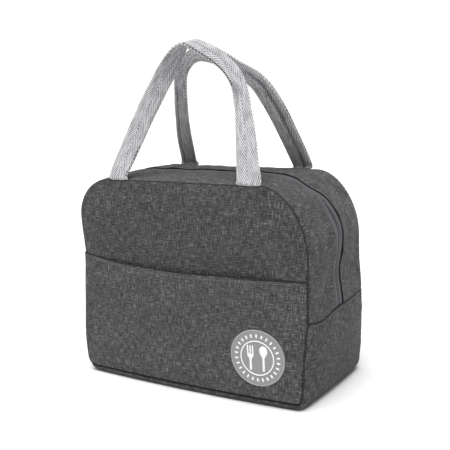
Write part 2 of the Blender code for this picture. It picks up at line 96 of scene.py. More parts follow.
class Shader:
    """A node material, written as expressions."""

    def __init__(self, name, **constants):
        self.material = bpy.data.materials.new(name)
        self.material.use_nodes = True
        self.tree = self.material.node_tree
        self.surface = self.tree.nodes["Principled BSDF"]
        for socket, value in constants.items():
            self.surface.inputs[socket.replace("_", " ")].default_value = value

    def node(self, kind, inputs, output=0, **settings):
        made = self.tree.nodes.new(kind)
        for key, value in settings.items():
            setattr(made, key, value)
        for key, value in inputs.items():
            if isinstance(value, bpy.types.NodeSocket):
                self.tree.links.new(value, made.inputs[key])
            else:
                made.inputs[key].default_value = value
        return made.outputs[output]

    def attribute(self, name, output="Vector"):
        return self.node("ShaderNodeAttribute", {}, output, attribute_name=name)

    def math(self, operation, a, b=0.0, c=0.0, clamp=False):
        return self.node("ShaderNodeMath", {0: a, 1: b, 2: c}, operation=operation,
                         use_clamp=clamp)

    def scaled(self, vector, x, y, z=1.0):
        return self.node("ShaderNodeVectorMath", {0: vector, 1: (x, y, z)},
                         operation="MULTIPLY")

    def noise(self, vector, scale=1.0, detail=2.0, roughness=0.5):
        return self.node("ShaderNodeTexNoise", {"Vector": vector, "Scale": scale,
                                                "Detail": detail, "Roughness": roughness})

    def separate(self, vector):
        made = self.tree.nodes.new("ShaderNodeSeparateXYZ")
        self.tree.links.new(vector, made.inputs[0])
        return made.outputs

    def ramp(self, value, stops, gain=1.0):
        made = self.tree.nodes.new("ShaderNodeValToRGB")
        self.tree.links.new(value, made.inputs[0])
        bar = made.color_ramp
        while len(bar.elements) < len(stops):
            bar.elements.new(0.5)
        for element, (place, colour) in zip(bar.elements, stops):
            element.position = place
            element.color = (*(gain * c for c in colour), 1.0)
        return made.outputs[0]

    def mix(self, factor, a, b):
        made = self.tree.nodes.new("ShaderNodeMix")
        made.data_type = "RGBA"
        for key, value in ((0, factor), (6, a), (7, b)):
            if isinstance(value, bpy.types.NodeSocket):
                self.tree.links.new(value, made.inputs[key])
            else:
                made.inputs[key].default_value = value if key == 0 else (*value, 1.0)
        return made.outputs[2]

    def bump(self, height, distance, strength=1.0):
        return self.node("ShaderNodeBump", {"Height": height, "Distance": distance,
                                            "Strength": strength})

    def finish(self, colour=None, roughness=None, normal=None):
        for socket, value in (("Base Color", colour), ("Roughness", roughness),
                              ("Normal", normal)):
            if value is not None:
                self.tree.links.new(value, self.surface.inputs[socket])
        return self.material

    def waves(self, value, pitch):
        return self.math("SINE", self.math("MULTIPLY", value, 2 * math.pi / pitch))

    def plain_weave(self, cloth):
        """The small crossings of a plain weave."""
        u, v, _ = self.separate(cloth)
        return self.math("MULTIPLY", self.waves(u, THREAD_PITCH), self.waves(v, THREAD_PITCH))


def melange(name, gain=1.0, contrast=1.0):
    """Dark grey heathered cloth: light and dark slubs along warp and weft, with painted shade near
    its seams.
    """
    s = Shader(name, Roughness=0.95, Specular_IOR_Level=0.12,
               Sheen_Weight=0.10, Sheen_Roughness=0.4)
    cloth = s.attribute("weave")
    weft = s.noise(s.scaled(cloth, 160, 1550), detail=2.5, roughness=0.7)
    warp = s.noise(s.scaled(cloth, 1550, 125), detail=2.5, roughness=0.7)
    long_weft = s.noise(s.scaled(cloth, 52, 1050), detail=1)
    most = s.math("MAXIMUM", weft, warp)
    most = s.math("MAXIMUM", most, s.math("MULTIPLY_ADD", long_weft, 1.0, -0.07))
    both = s.math("MULTIPLY", s.math("ADD", weft, warp), 0.5)
    value = s.math("MULTIPLY_ADD", most, 0.55, s.math("MULTIPLY", both, 0.45))
    broad = s.noise(s.scaled(cloth, 40, 30))
    value = s.math("MULTIPLY_ADD", s.math("SUBTRACT", broad, 0.5), 0.035, value)
    usual = 0.545                     # the slubs' usual value, which contrast leaves alone
    value = s.math("MULTIPLY_ADD", value, contrast, usual * (1 - contrast))
    colour = s.ramp(value, ((0.42, (0.032, 0.031, 0.0315)), (usual, (0.068, 0.065, 0.0665)),
                            (0.70, (0.200, 0.195, 0.197))), gain)
    # painted shade: the cloth turns near black close to its seams, rolled edges and the zip, where
    # shade falls
    seam_shade = s.math("MULTIPLY_ADD", s.attribute("seam", "Fac"), -1300.0, 0.85, clamp=True)
    colour = s.mix(seam_shade, colour, (0.010, 0.010, 0.010))
    height = s.math("ADD", s.math("MULTIPLY", s.plain_weave(cloth), 0.4),
                    s.math("MULTIPLY", both, 1.6))
    return s.finish(colour, None, s.bump(height, 0.0002, 0.7))


def herringbone(name, gain):
    """Light grey webbing: one V across its width, drawn by fine slanting ribs, with painted shade
    in its grooves.
    """
    s = Shader(name, Roughness=0.85, Specular_IOR_Level=0.25,
               Sheen_Weight=0.05, Sheen_Roughness=0.5)
    cloth = s.attribute("weave")
    along, across, _ = s.separate(cloth)
    wobble = s.noise(s.scaled(cloth, 260, 260), detail=2)
    slant = s.math("MULTIPLY_ADD", s.math("ABSOLUTE", across), 1.9, along)
    slant = s.math("MULTIPLY_ADD", wobble, 0.0006, slant)
    rib = s.waves(slant, 0.0034)
    fibre = s.noise(s.scaled(cloth, 2600, 2600), detail=2)
    patch = s.noise(s.scaled(cloth, 90, 500), detail=2)
    value = s.math("MULTIPLY_ADD", fibre, 0.26, s.math("MULTIPLY_ADD", patch, 0.60, 0.07))
    value = s.math("MULTIPLY_ADD", rib, 0.15, value)
    spine = s.math("MULTIPLY_ADD", s.math("ABSOLUTE", across), -900.0, 0.8, clamp=True)
    value = s.math("MULTIPLY_ADD", spine, -0.07, value)
    colour = s.ramp(value, ((0.22, (0.135, 0.136, 0.145)), (0.45, (0.39, 0.392, 0.405)),
                            (0.68, (0.68, 0.682, 0.695))), gain)
    # painted shade: the webbing turns dark in its grooves and where it turns over
    groove = s.math("MULTIPLY", s.attribute("seam", "Fac"), 620.0, clamp=True)
    colour = s.mix(groove, colour, (0.055, 0.055, 0.060))
    height = s.math("ADD", rib, s.math("MULTIPLY", fibre, 0.6))
    return s.finish(colour, None, s.bump(height, 0.00035, 0.8))


def thread(name, colour, sheen=0.1):
    """Twisted sewing thread."""
    s = Shader(name, Roughness=0.75, Sheen_Weight=sheen)
    place = s.attribute("weave")
    twist = s.noise(s.scaled(place, 2600, 900), detail=2)
    dark = tuple(c * 0.55 for c in colour)
    return s.finish(s.ramp(twist, [(0.35, dark), (0.65, colour)]), None,
                    s.bump(twist, 0.0001, 0.6))


def ribbed_tape():
    """Woven zip tape, with fine ribs along it."""
    s = Shader("zip_tape_cloth", Roughness=0.7, Specular_IOR_Level=0.35, Sheen_Weight=0.1)
    cloth = s.attribute("weave")
    _, across, _ = s.separate(cloth)
    ribs = s.math("MULTIPLY", s.waves(across, 0.0009), 0.5)
    grain = s.noise(s.scaled(cloth, 900, 2600), detail=2)
    value = s.math("MULTIPLY_ADD", ribs, 0.25, grain)
    colour = s.ramp(value, [(0.30, (0.036, 0.037, 0.043)), (0.52, (0.076, 0.078, 0.088)),
                            (0.75, (0.120, 0.122, 0.136))])
    return s.finish(colour, None, s.bump(s.math("ADD", ribs, grain), 0.00015, 0.7))


def nylon_coil():
    s = Shader("nylon_coil", Roughness=0.38, Coat_Weight=0.15, Coat_Roughness=0.3)
    grain = s.noise(s.attribute("weave"), 700, 2)
    return s.finish(s.ramp(grain, [(0.3, (0.045, 0.046, 0.052)), (0.7, (0.095, 0.097, 0.108))]),
                    s.math("MULTIPLY_ADD", grain, 0.2, 0.28))


def dark_metal():
    """Painted die-cast metal, a little brighter where it is rubbed."""
    s = Shader("zip_metal_paint", Metallic=0.85, Coat_Weight=0.2, Coat_Roughness=0.25)
    place = s.node("ShaderNodeTexCoord", {}, "Object")
    fine = s.noise(place, 1800, 3)
    rubbed = s.noise(place, 260, 3)
    colour = s.ramp(rubbed, [(0.42, (0.07, 0.07, 0.075)), (0.62, (0.17, 0.17, 0.18))])
    return s.finish(colour, s.math("MULTIPLY_ADD", fine, 0.25, 0.25),
                    s.bump(fine, 0.0001, 0.35))


def crinkled_foil():
    """Heat-reflecting lining film, creased and quilted by handling."""
    s = Shader("foil_film", Metallic=0.85, Coat_Weight=0.3, Coat_Roughness=0.2)
    cloth = s.attribute("weave")
    creases = s.node("ShaderNodeTexVoronoi", {"Vector": cloth, "Scale": 95.0}, 0,
                     feature="DISTANCE_TO_EDGE")
    waves = s.noise(cloth, 60, 4, 0.6)
    colour = s.ramp(waves, [(0.35, (0.60, 0.61, 0.63)), (0.65, (0.80, 0.81, 0.82))])
    height = s.math("ADD", s.math("MULTIPLY", creases, 0.8), waves)
    return s.finish(colour, s.math("MULTIPLY_ADD", waves, 0.3, 0.15),
                    s.bump(height, 0.0018, 0.7))


def closed_cell_foam():
    s = Shader("closed_cell_foam", Roughness=0.9)
    cloth = s.attribute("weave")
    cells = s.node("ShaderNodeTexVoronoi", {"Vector": cloth, "Scale": 1400.0})
    colour = s.ramp(cells, [(0.1, (0.86, 0.86, 0.83)), (0.7, (0.70, 0.70, 0.67))])
    return s.finish(colour, None, s.bump(cells, 0.0003, 0.6))


def woven_binding():
    s = Shader("woven_binding", Roughness=0.9, Sheen_Weight=0.1)
    cloth = s.attribute("weave")
    along, _, _ = s.separate(cloth)
    ribs = s.waves(along, 0.0012)
    grain = s.noise(cloth, 1500, 2)
    value = s.math("MULTIPLY_ADD", ribs, 0.12, grain)
    return s.finish(s.ramp(value, [(0.3, (0.030, 0.030, 0.032)), (0.7, (0.075, 0.075, 0.080))]),
                    None, s.bump(value, 0.0003, 0.7))


def rubber_print(name, low, high):
    """Matt heat-transfer film that lets the weave show faintly."""
    s = Shader(name, Roughness=0.5, Specular_IOR_Level=0.4, Coat_Weight=0.05)
    place = s.attribute("weave")
    grain = s.noise(place, 1300, 3)
    value = s.math("MULTIPLY_ADD", s.plain_weave(place), 0.10, grain)
    return s.finish(s.ramp(value, [(0.3, low), (0.7, high)]), None,
                    s.bump(value, 0.00012, 0.6))


CLOTH = melange("heathered_oxford", 1.0, 1.40)
# painted light: the pocket is the same cloth, 1.10 as bright
LIT_POCKET_CLOTH = melange("heathered_oxford_lit_pocket", 1.10, 1.40)
# painted shade: the gusset's copy of the cloth is 0.97 as bright, and its slubs stronger
SHADED_GUSSET_CLOTH = melange("heathered_oxford_shaded_gusset", 0.97, 1.60)
WEB = herringbone("herringbone_webbing", 1.0)
# painted shade: the back handle's webbing is the same webbing, 0.82 as bright
SHADED_BACK_WEB = herringbone("herringbone_webbing_shaded", 0.82)
GREY_THREAD = thread("grey_thread", (0.13, 0.13, 0.133))
DARK_THREAD = thread("dark_thread", (0.035, 0.035, 0.037))
WHITE_THREAD = thread("white_thread", (0.80, 0.80, 0.79))
TAPE = ribbed_tape()
COIL = nylon_coil()
METAL = dark_metal()
FOIL = crinkled_foil()
FOAM = closed_cell_foam()
BINDING = woven_binding()
BADGE_GREY = rubber_print("badge_film_grey", (0.22, 0.22, 0.22), (0.29, 0.29, 0.292))
BADGE_RIM = rubber_print("badge_film_rim", (0.30, 0.30, 0.30), (0.38, 0.38, 0.38))
BADGE_WHITE = rubber_print("badge_film_white", (0.80, 0.80, 0.79), (0.92, 0.92, 0.91))


# ---------------------------------------------------------------- mesh helpers

def new_object(name, data):
    made = bpy.data.objects.new(name, data)
    bpy.context.scene.collection.objects.link(made)
    return made


def add_piece(name, points, faces, material, weave=None, seam=None):
    """A mesh object. weave places its points on flat cloth; seam sets each point's painted shade:
    for cloth, how far it is from a seam.
    """
    points = np.asarray(points, float).reshape(-1, 3)
    mesh = bpy.data.meshes.new(name)
    mesh.from_pydata(points.tolist(), [], [list(map(int, f)) for f in faces])
    mesh.validate()
    weave = np.asarray(points if weave is None else weave, np.float32).reshape(len(points), -1)
    if weave.shape[1] == 2:
        weave = np.concatenate([weave, np.zeros((len(points), 1), np.float32)], 1)
    mesh.attributes.new("weave", "FLOAT_VECTOR", "POINT").data.foreach_set(
        "vector", weave.ravel())
    if seam is not None:
        mesh.attributes.new("seam", "FLOAT", "POINT").data.foreach_set(
            "value", np.asarray(seam, np.float32).ravel())
    mesh.materials.append(material)
    mesh.shade_smooth()
    return new_object(name, mesh)


def fix_normals(piece):
    """Turn every face of a closed mesh outwards."""
    shell = bmesh.new()
    shell.from_mesh(piece.data)
    bmesh.ops.recalc_face_normals(shell, faces=shell.faces)
    shell.to_mesh(piece.data)
    shell.free()


def round_off(piece):
    rounding = piece.modifiers.new("rounding", "SUBSURF")
    rounding.levels = rounding.render_levels = 1


def thicken(piece, thickness):
    """Round the mesh off and give the cloth its thickness, inwards from its outer face."""
    round_off(piece)
    wall = piece.modifiers.new("thickness", "SOLIDIFY")
    wall.thickness = thickness
    wall.offset = -1.0
    wall.use_even_offset = False


def grid_faces(rows, columns, flip=False):
    faces = []
    for r in range(rows - 1):
        for c in range(columns - 1):
            a = r * columns + c
            face = [a, a + 1, a + columns + 1, a + columns]
            faces.append(face[::-1] if flip else face)
    return faces


def tube_faces(rings, sides):
    """Faces of a tube of rings, with both ends closed."""
    faces = []
    for r in range(rings - 1):
        for c in range(sides):
            d = (c + 1) % sides
            faces.append([r * sides + c, r * sides + d, (r + 1) * sides + d, (r + 1) * sides + c])
    faces.append(list(range(sides))[::-1])
    faces.append([(rings - 1) * sides + c for c in range(sides)])
    return faces


def distances(line):
    """How far along a line each of its points is."""
    return np.concatenate([[0], np.cumsum(np.linalg.norm(np.diff(line, axis=0), axis=1))])


def read_off(wanted, s, values):
    """Values that are known at the distances s, at the wanted distances."""
    return np.stack([np.interp(wanted, s, column) for column in values.T], 1)


def resample(points, count):
    """The same line with evenly spaced points."""
    points = np.asarray(points, float)
    s = distances(points)
    return read_off(np.linspace(0, s[-1], count + 1), s, points)


def coons(bottom, top, left, right):
    """Fill the space between four edges. Rows run upwards and columns to the right."""
    u = np.linspace(0, 1, len(bottom))[None, :, None]
    v = np.linspace(0, 1, len(left))[:, None, None]
    return ((1 - v) * bottom[None] + v * top[None] + (1 - u) * left[:, None]
            + u * right[:, None] - (1 - u) * (1 - v) * bottom[0] - u * (1 - v) * bottom[-1]
            - (1 - u) * v * top[0] - u * v * top[-1])


def bell(distance):
    return np.exp(-np.square(distance))


def smoothstep(low, high, value):
    t = np.clip((value - low) / (high - low), 0, 1)
    return t * t * (3 - 2 * t)


def wavy(a, b=0.0, seed=0.0):
    """Smooth repeatable noise, about -1 to 1."""
    return 1.6 * noise.noise(Vector((a, b, seed)))


def waves_over(a, b, seed):
    """The same noise over two arrays."""
    return np.vectorize(lambda p, q: wavy(p, q, seed))(a, b)


# ---------------------------------------------------------------- outline and seams

def side_x(z, side):
    drop = np.maximum(0.0, (Z_WAIST - z) / (Z_WAIST - Z_BASE_SEAM))
    return MID[side] - (MID[side] - BASE[side]) * drop ** 2


def corner_points(side, start, stop, steps=40):
    """Part of a top corner, as a superellipse arc between two angles."""
    start_x, height, power = TOP_CORNERS[side]
    reach = side_x(Z_TOP - height, side) - start_x
    t = np.linspace(start, stop, steps)
    x = start_x + reach * np.cos(t) ** (2 / power)
    z = Z_TOP - height + height * np.sin(t) ** (2 / power)
    return np.stack([side * x, z], 1)


def base_points(side, start, stop, steps=12):
    centre_x = side_x(Z_BASE_SEAM + BASE_CORNER, side) - BASE_CORNER
    t = np.linspace(start, stop, steps)
    x = centre_x + BASE_CORNER * np.cos(t)
    return np.stack([side * x, Z_BASE_SEAM + BASE_CORNER * (1 + np.sin(t))], 1)


def upright(side, low, high):
    z = np.linspace(low, high, 50)
    return np.stack([side * side_x(z, side), z], 1)


def side_edge(side):
    """One side, from the middle of its bottom corner to the middle of its top corner."""
    corner = base_points(side, -math.pi / 4, 0)
    below = np.concatenate([corner, upright(side, corner[-1][1], Z_FOLD)])
    above = np.concatenate([upright(side, Z_FOLD, Z_TOP - TOP_CORNERS[side][1]),
                            corner_points(side, 0, math.pi / 4)])
    return np.concatenate([resample(below, ROWS_LOW)[:-1], resample(above, ROWS_HIGH)])


def make_loop():
    """The outline as one closed clockwise loop: left side, top, right side, base."""
    top = resample(np.concatenate([corner_points(-1, math.pi / 4, math.pi / 2),
                                   corner_points(1, math.pi / 4, math.pi / 2)[::-1]]), COLUMNS)
    base = resample(np.concatenate([base_points(-1, -math.pi / 4, -math.pi / 2),
                                    base_points(1, -math.pi / 4, -math.pi / 2)[::-1]]), COLUMNS)
    return np.concatenate([side_edge(-1)[:-1], top[:-1], side_edge(1)[::-1][:-1],
                           base[::-1][:-1]])


LOOP = make_loop()
COUNT = len(LOOP)
tangent = np.roll(LOOP, -1, 0) - np.roll(LOOP, 1, 0)
tangent /= np.linalg.norm(tangent, axis=1)[:, None]
NORMAL = np.stack([-tangent[:, 1], tangent[:, 0]], 1)
ALONG = distances(LOOP)
LEFT_FOLD, RIGHT_FOLD = ROWS_LOW, ROWS + COLUMNS + ROWS_HIGH
UPPER = np.arange(LEFT_FOLD, RIGHT_FOLD + 1)
LOWER = np.arange(RIGHT_FOLD, COUNT + LEFT_FOLD + 1) % COUNT


def along_path(ids):
    """Distance round the outline, without the jump where the loop closes."""
    return np.unwrap(ALONG[ids] / ALONG[-1] * 2 * math.pi) / (2 * math.pi) * ALONG[-1]


def at_depth(xz, y):
    """Points in space from points of the outline and a depth."""
    return np.stack([xz[..., 0], np.broadcast_to(y, xz.shape[:-1]), xz[..., 1]], -1)


def path_out(ids):
    """Outward directions at points of the outline."""
    return at_depth(NORMAL[ids], 0.0)


def settle(points):
    """The bag's own slump: every layer moves together, by a few millimetres."""
    p = np.array(points, float)
    x, y, z = p[..., 0], p[..., 1], p[..., 2]
    front = np.clip(0.5 - 0.5 * y / Y_PANEL, 0, 1)
    back = 1 - front
    left, right = (np.clip(side * x / 0.112, 0, 1) ** 2 for side in (-1, 1))
    low = np.clip(1 - z / 0.105, 0, 1)
    # The sides lean and bulge
    move = right * (front * -0.0024 * bell((z - 0.045) / 0.030)
                    + back * (0.0078 * low + 0.0006 * bell((z - 0.09) / 0.03)))
    move += left * front * (-0.0038 * bell((z - 0.036) / 0.030)
                            + 0.0026 * bell((z - 0.114) / 0.022))
    move += left * back * -0.0030 * low
    # The foot of the front bulges forwards
    bulge = front ** 2 * np.clip(1 - z / 0.055, 0, 1) ** 1.5
    p[..., 1] = y - 0.0058 * bulge * np.clip(1 - ((x + 0.022) / 0.128) ** 2, 0, 1)
    p[..., 0] = x + move
    # The right-hand side seam dips in front
    sag = smoothstep(0.098, 0.112, x) * bell((y + 0.034) / 0.016)
    p[..., 2] = z - 0.0038 * sag * bell((z - Z_FOLD) / 0.018)
    return p


BASE_SQUARE = 0.7            # under 1, so the base turns under squarely
BASE_REACH = 0.0090          # the base's rounded edge comes out this far past its flat part


def base_turn(y):
    """Angle of the base's rounded edge at a depth: 0 where it is flat, a quarter at the seam."""
    return np.clip((np.abs(y) - BASE_FLAT) / (Y_SEAM - BASE_FLAT), 0, 1) * math.pi / 2


def gusset_crown(ids, y):
    """How far the gusset stands out of its seams, for path points and depths."""
    x, z = LOOP[ids].T[..., None]
    across, up = NORMAL[ids].T[..., None]
    y = np.asarray(y, float)[None, :]
    middle = np.clip(1 - (y / Y_SEAM) ** 2, 0, 1)
    side = SIDE_CROWN * middle
    base = BASE_CROWN * np.cos(base_turn(y)) ** BASE_SQUARE
    out = np.where(up < 0, side * across ** 2 + base * up ** 2, side)
    # The right side is full near its top and hollow below that
    slack = (x > 0) * (0.0026 * bell((z - 0.148) / 0.016) - 0.0022 * bell((z - 0.103) / 0.018))
    # Both top corners are dented
    slack = slack - ((0.0040 + 0.0034 * bell(y / 0.022))
                     * bell(np.hypot(x - 0.087, z - 0.179) / 0.020))
    slack = slack - 0.0020 * bell(np.hypot(x + 0.098, z - 0.176) / 0.018)
    # A ridge and a hollow climb the front of the right side, and a ridge crosses the top
    climb = z - 0.10 * y
    slack = slack + (smoothstep(0.012, -0.020, y) * (x > 0.09)
                     * (0.0042 * bell((climb - 0.174) / 0.008)
                        - 0.0050 * bell((climb - 0.156) / 0.011)))
    top = smoothstep(0.0, -0.025, y) * (z > 0.165) * (x > 0)
    slack = slack + 0.0034 * top * bell((x - 0.074) / 0.010)
    ripple = 0.0006 * (up >= 0) * waves_over(ALONG[ids][:, None] / 0.021, y / 0.05, 3.0)
    return out + (slack + ripple) * middle


def gusset_grid(ids, y_values, depth):
    """Points of a gusset layer, path by depth across the bag, so far under the surface."""
    out = gusset_crown(ids, y_values) - depth
    normal = NORMAL[ids][:, None, :]
    y = np.broadcast_to(np.asarray(y_values, float), out.shape)
    if depth < FOAM_OUT - 0.0001:     # only the fabric turns round the base's full edge
        wide = BASE_FLAT + BASE_REACH * np.sin(base_turn(y)) ** BASE_SQUARE
        under = np.clip(-normal[..., 1], 0, 1) ** 2 * (np.abs(y) > BASE_FLAT)
        y = y + under * np.sign(y) * (wide - np.abs(y))
    return at_depth(LOOP[ids][:, None, :] + normal * out[..., None], y)


def panel_edges(inset):
    """Base, top, left and right edges of a panel, that far inside the outline."""
    loop = LOOP - NORMAL * inset
    wrap = np.concatenate([loop, loop[:1]])
    left, top = wrap[:ROWS + 1], wrap[ROWS:ROWS + COLUMNS + 1]
    right = wrap[ROWS + COLUMNS:2 * ROWS + COLUMNS + 1][::-1]
    base = wrap[2 * ROWS + COLUMNS:][::-1]
    return base, top, left, right


def panel_grid(side, inset, y):
    return at_depth(coons(*panel_edges(inset)), side * y)


def border(rows, columns):
    """Indices of a grid's border, clockwise from its bottom left: up, right, down, left."""
    ids = np.arange(rows * columns).reshape(rows, columns)
    return np.concatenate([ids[:-1, 0], ids[-1, :-1], ids[1:, -1][::-1], ids[0, 1:][::-1]])


def pocket_mouth(x):
    """Height of the pocket's mouth, which rises to both sides."""
    return POCKET_TOP + np.where(x < 0, 0.0082 * (x / 0.110) ** 2, 0.0040 * (x / 0.1155))


def pocket_ease(x, z):
    """How far the loose pocket stands off the panel: most in the middle of its mouth."""
    across = np.clip(1 - (x / (MID[-1] - POCKET_MARGIN)) ** 2, 0, None)
    height = np.clip((z - Z_BASE_SEAM) / (POCKET_TOP - Z_BASE_SEAM), 0, None)
    return np.minimum(POCKET_EASE, POCKET_EASE * across * height ** 0.6) - FABRIC * across


def pocket_y(x, z):
    """The pocket's outer face."""
    return -(Y_PANEL + GAP + np.maximum(0.0, pocket_ease(x, z)) + FABRIC)


def pocket_edges(inset):
    base, _, left, right = panel_edges(inset)
    left_z = float(pocket_mouth(np.array(-MID[-1])))
    right_z = float(pocket_mouth(np.array(MID[1])))
    cut = []
    for line, level in ((left, left_z), (right, right_z)):
        below = line[line[:, 1] < level]
        above = line[len(below)]
        share = (level - below[-1][1]) / (above[1] - below[-1][1])
        cut.append(resample(np.concatenate([below, [below[-1] + share * (above - below[-1])]]),
                            POCKET_ROWS))
    x = np.linspace(cut[0][-1][0], cut[1][-1][0], COLUMNS + 1)
    return base, np.stack([x, pocket_mouth(x)], 1), cut[0], cut[1]


def pocket_grid(inset):
    xz = coons(*pocket_edges(inset))
    return at_depth(xz, pocket_y(xz[..., 0], xz[..., 1]))


# ---------------------------------------------------------------- simulation

EDGE_ROLL = 0.0013           # the panels start to roll into their seams here
GUSSET_ROLL = 0.0011
ZIP_STATIONS = np.linspace(Y_SEAM - GUSSET_ROLL, ZIP_OPENING, HALF_STATIONS + 1)
ROUND_STATIONS = np.array([0.0, 0.08, 0.22, 0.45, 0.72])   # shares of the base's round edge
BASE_ROUND = Y_SEAM - GUSSET_ROLL - ROUND_STATIONS * (Y_SEAM - GUSSET_ROLL - BASE_FLAT)
BASE_STATIONS = np.concatenate([-BASE_ROUND, np.linspace(-BASE_FLAT, BASE_FLAT, 23),
                                BASE_ROUND[::-1]])
SHEETS = {
    "front": panel_grid(-1, EDGE_ROLL, Y_PANEL),
    "back": panel_grid(1, EDGE_ROLL, Y_PANEL),
    "pocket": pocket_grid(EDGE_ROLL),
    "zip_front": gusset_grid(UPPER, -ZIP_STATIONS, 0.0),
    "zip_back": gusset_grid(UPPER, ZIP_STATIONS, 0.0),
    "base": gusset_grid(LOWER, BASE_STATIONS, 0.0),
}
TURNED = ("back", "zip_back", "base")        # sheets whose faces are flipped to point out
SIM_FRAMES = 20
SLIDE_LIMIT, DENT_LIMIT = 0.0006, 0.0003


def outward_faces(key, rows, columns):
    return grid_faces(rows, columns, flip=key in TURNED)


def simulate(stretch, pressure, cap):
    """Puff all the sheets between their pinned seams, and return how each point moved."""
    points, faces, pinned, spans = [], [], [], {}
    for key, grid in SHEETS.items():
        rows, columns = grid.shape[:2]
        first = len(points)
        spans[key] = (first, rows, columns)
        points += settle(grid).reshape(-1, 3).tolist()
        faces += [[first + i for i in f] for f in outward_faces(key, rows, columns)]
        pinned += [first + int(i) for i in border(rows, columns)]
    start = np.array(points)
    piece = add_piece("sim", points, faces, CLOTH)
    piece.vertex_groups.new(name="pin").add(pinned, 1.0, "REPLACE")
    cloth = piece.modifiers.new("cloth", "CLOTH")
    wanted = cloth.settings           # a firm oxford cloth over foam
    wanted.quality = 6
    wanted.mass = 0.35
    wanted.tension_stiffness = wanted.compression_stiffness = 25
    wanted.shear_stiffness = 12
    wanted.bending_stiffness = 1.5
    wanted.vertex_group_mass = "pin"
    wanted.shrink_min = -stretch
    wanted.use_pressure = True
    wanted.uniform_pressure_force = pressure
    wanted.effector_weights.gravity = 0.0
    cloth.collision_settings.use_collision = False
    scene = bpy.context.scene
    cloth.point_cache.frame_start = scene.frame_start = 1
    cloth.point_cache.frame_end = scene.frame_end = SIM_FRAMES
    for step in range(1, SIM_FRAMES + 1):
        scene.frame_set(step)
    shape = piece.evaluated_get(bpy.context.evaluated_depsgraph_get()).to_mesh()
    after = np.zeros(len(shape.vertices) * 3)
    shape.vertices.foreach_get("co", after)
    after = after.reshape(-1, 3)
    bpy.data.objects.remove(piece)
    scene.frame_set(1)
    moves = {}
    for key, (first, rows, columns) in spans.items():
        before = start[first:first + rows * columns].reshape(rows, columns, 3)
        move = after[first:first + rows * columns].reshape(rows, columns, 3) - before
        normal = np.cross(np.gradient(before, axis=1), np.gradient(before, axis=0))
        normal /= np.linalg.norm(normal, axis=-1)[..., None] + 1e-12
        if key in TURNED:
            normal = -normal
        out = (move * normal).sum(-1)[..., None]
        slide = np.clip((move - out * normal) * 0.5, -SLIDE_LIMIT, SLIDE_LIMIT)
        limit = cap
        if key == "front":                # its lower part lies behind the pocket
            limit = cap * np.where(before[..., 2:] < 0.125, 0.6, 1.0)
        out = np.where(out > 0, limit * np.tanh(out / limit), np.maximum(out, -DENT_LIMIT))
        if key == "base":                 # the base rests on the floor
            resting = smoothstep(0.003, 0.016, before[..., 2:])
            out, slide = out * resting, slide * resting
        moves[key] = out * normal + slide
    return moves


PUFF = simulate(stretch=0.010, pressure=1.5, cap=0.0024)


# ---------------------------------------------------------------- fabric pieces

# Rows that roll a sheet's edge into its seam, as (inset from the seam, depth or change of depth)
SEAM_ROLL = ((0.0006, 0.00025), (0.0003, 0.0008), (0.0002, 0.0018))
ZIP_ROLL = ((-0.0002, 0.0003), (0.0003, 0.0009))
PANEL_ROLL = ((0.0007, -0.00025), (0.0004, -0.00075), (0.0014, -0.0013))
POCKET_ROLL = ((0.0004, 0.0009), (-0.0001, 0.0001), (0.0005, -0.0006))
POCKET_CUT = np.array([0.31, 0.13])          # where the pocket was cut from the cloth


def ride_or_blend(piece, half):
    """A piece with no half of the mouth goes with the bag's body; others keep their place, their
    transform baked in.
    """
    if half is None:
        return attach(piece, "bag_body")
    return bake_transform(piece)


def stands_for(piece, nodes, half):
    ride_or_blend(piece, half)
    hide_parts(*nodes)
    return piece


def seam_distance(grid):
    """Each grid point's distance to the outline, and how far round the outline it is nearest."""
    xz = grid[..., [0, 2]]
    gaps = np.linalg.norm(xz[:, :, None, :] - LOOP[None, None], axis=-1)
    return gaps.min(-1), ALONG[gaps.argmin(-1)]


def pucker(along, distance, seed, size=0.0007):
    """Small outward gathers that start at a seam and fade into the cloth."""
    wave = waves_over(along / 0.0085, distance / 0.03, seed)
    fade = (1 - np.exp(-distance / 0.003)) * np.exp(-distance / 0.011)
    return size * np.clip(wave + 0.25, 0, None) * fade * 2.2


def rolled_sheet(name, grid, faces, weave, seam, edge, rings, shift, flip, material):
    """A sheet with rings of points added that carry its edge round into the seam."""
    points, weave, seam = [grid.reshape(-1, 3)], [weave.reshape(-1, 2)], [seam.ravel()]
    closed = len(edge) == COUNT
    for line, y in rings:
        ring = sum(len(p) for p in points) + np.arange(len(line))
        points.append(settle(at_depth(line, y)))
        weave.append(line + shift)
        # painted shade: the rings rolled into the seam get the darkest colour
        seam.append(np.zeros(len(line)))
        for i in range(len(line) if closed else len(line) - 1):
            j = (i + 1) % len(line)
            face = [ring[i], edge[i], edge[j], ring[j]]
            faces.append(face[::-1] if flip else face)
        edge = ring
    return add_piece(name, np.concatenate(points), faces, material, np.concatenate(weave),
                     np.concatenate(seam))


def make_panel(face, side, seed):
    flat = SHEETS[face]
    x, z = flat[..., 0], flat[..., 2]
    distance, along = seam_distance(flat)
    out = pucker(along, distance, seed)
    broad = waves_over(x / 0.060, z / 0.055, seed + 9)
    out += 0.0007 * (broad + 0.4) * smoothstep(0.0, 0.03, distance)
    if side < 0:                      # a soft crease runs up from the pocket's mouth
        line = (x + 0.030) * 0.53 + (z - 0.130) * 0.85
        length = (x + 0.030) * -0.85 + (z - 0.130) * 0.53
        out += 0.0011 * bell(line / 0.004) * bell(length / 0.022)
    grid = settle(flat) + PUFF[face]
    grid[..., 1] += side * np.clip(out, 0, None)
    rings = [(LOOP - NORMAL * inset, side * (Y_PANEL + y)) for inset, y in PANEL_ROLL]
    rows, columns = grid.shape[:2]
    piece = rolled_sheet(f"{face}_panel", grid, outward_faces(face, rows, columns),
                         flat[..., [0, 2]] + seed, distance, border(rows, columns), rings, seed,
                         side > 0, CLOTH)
    thicken(piece, FABRIC * 0.9)
    stands_for(piece, [f"{face}_panel_lower", f"{face}_panel_upper"],
               f"{face}_half")


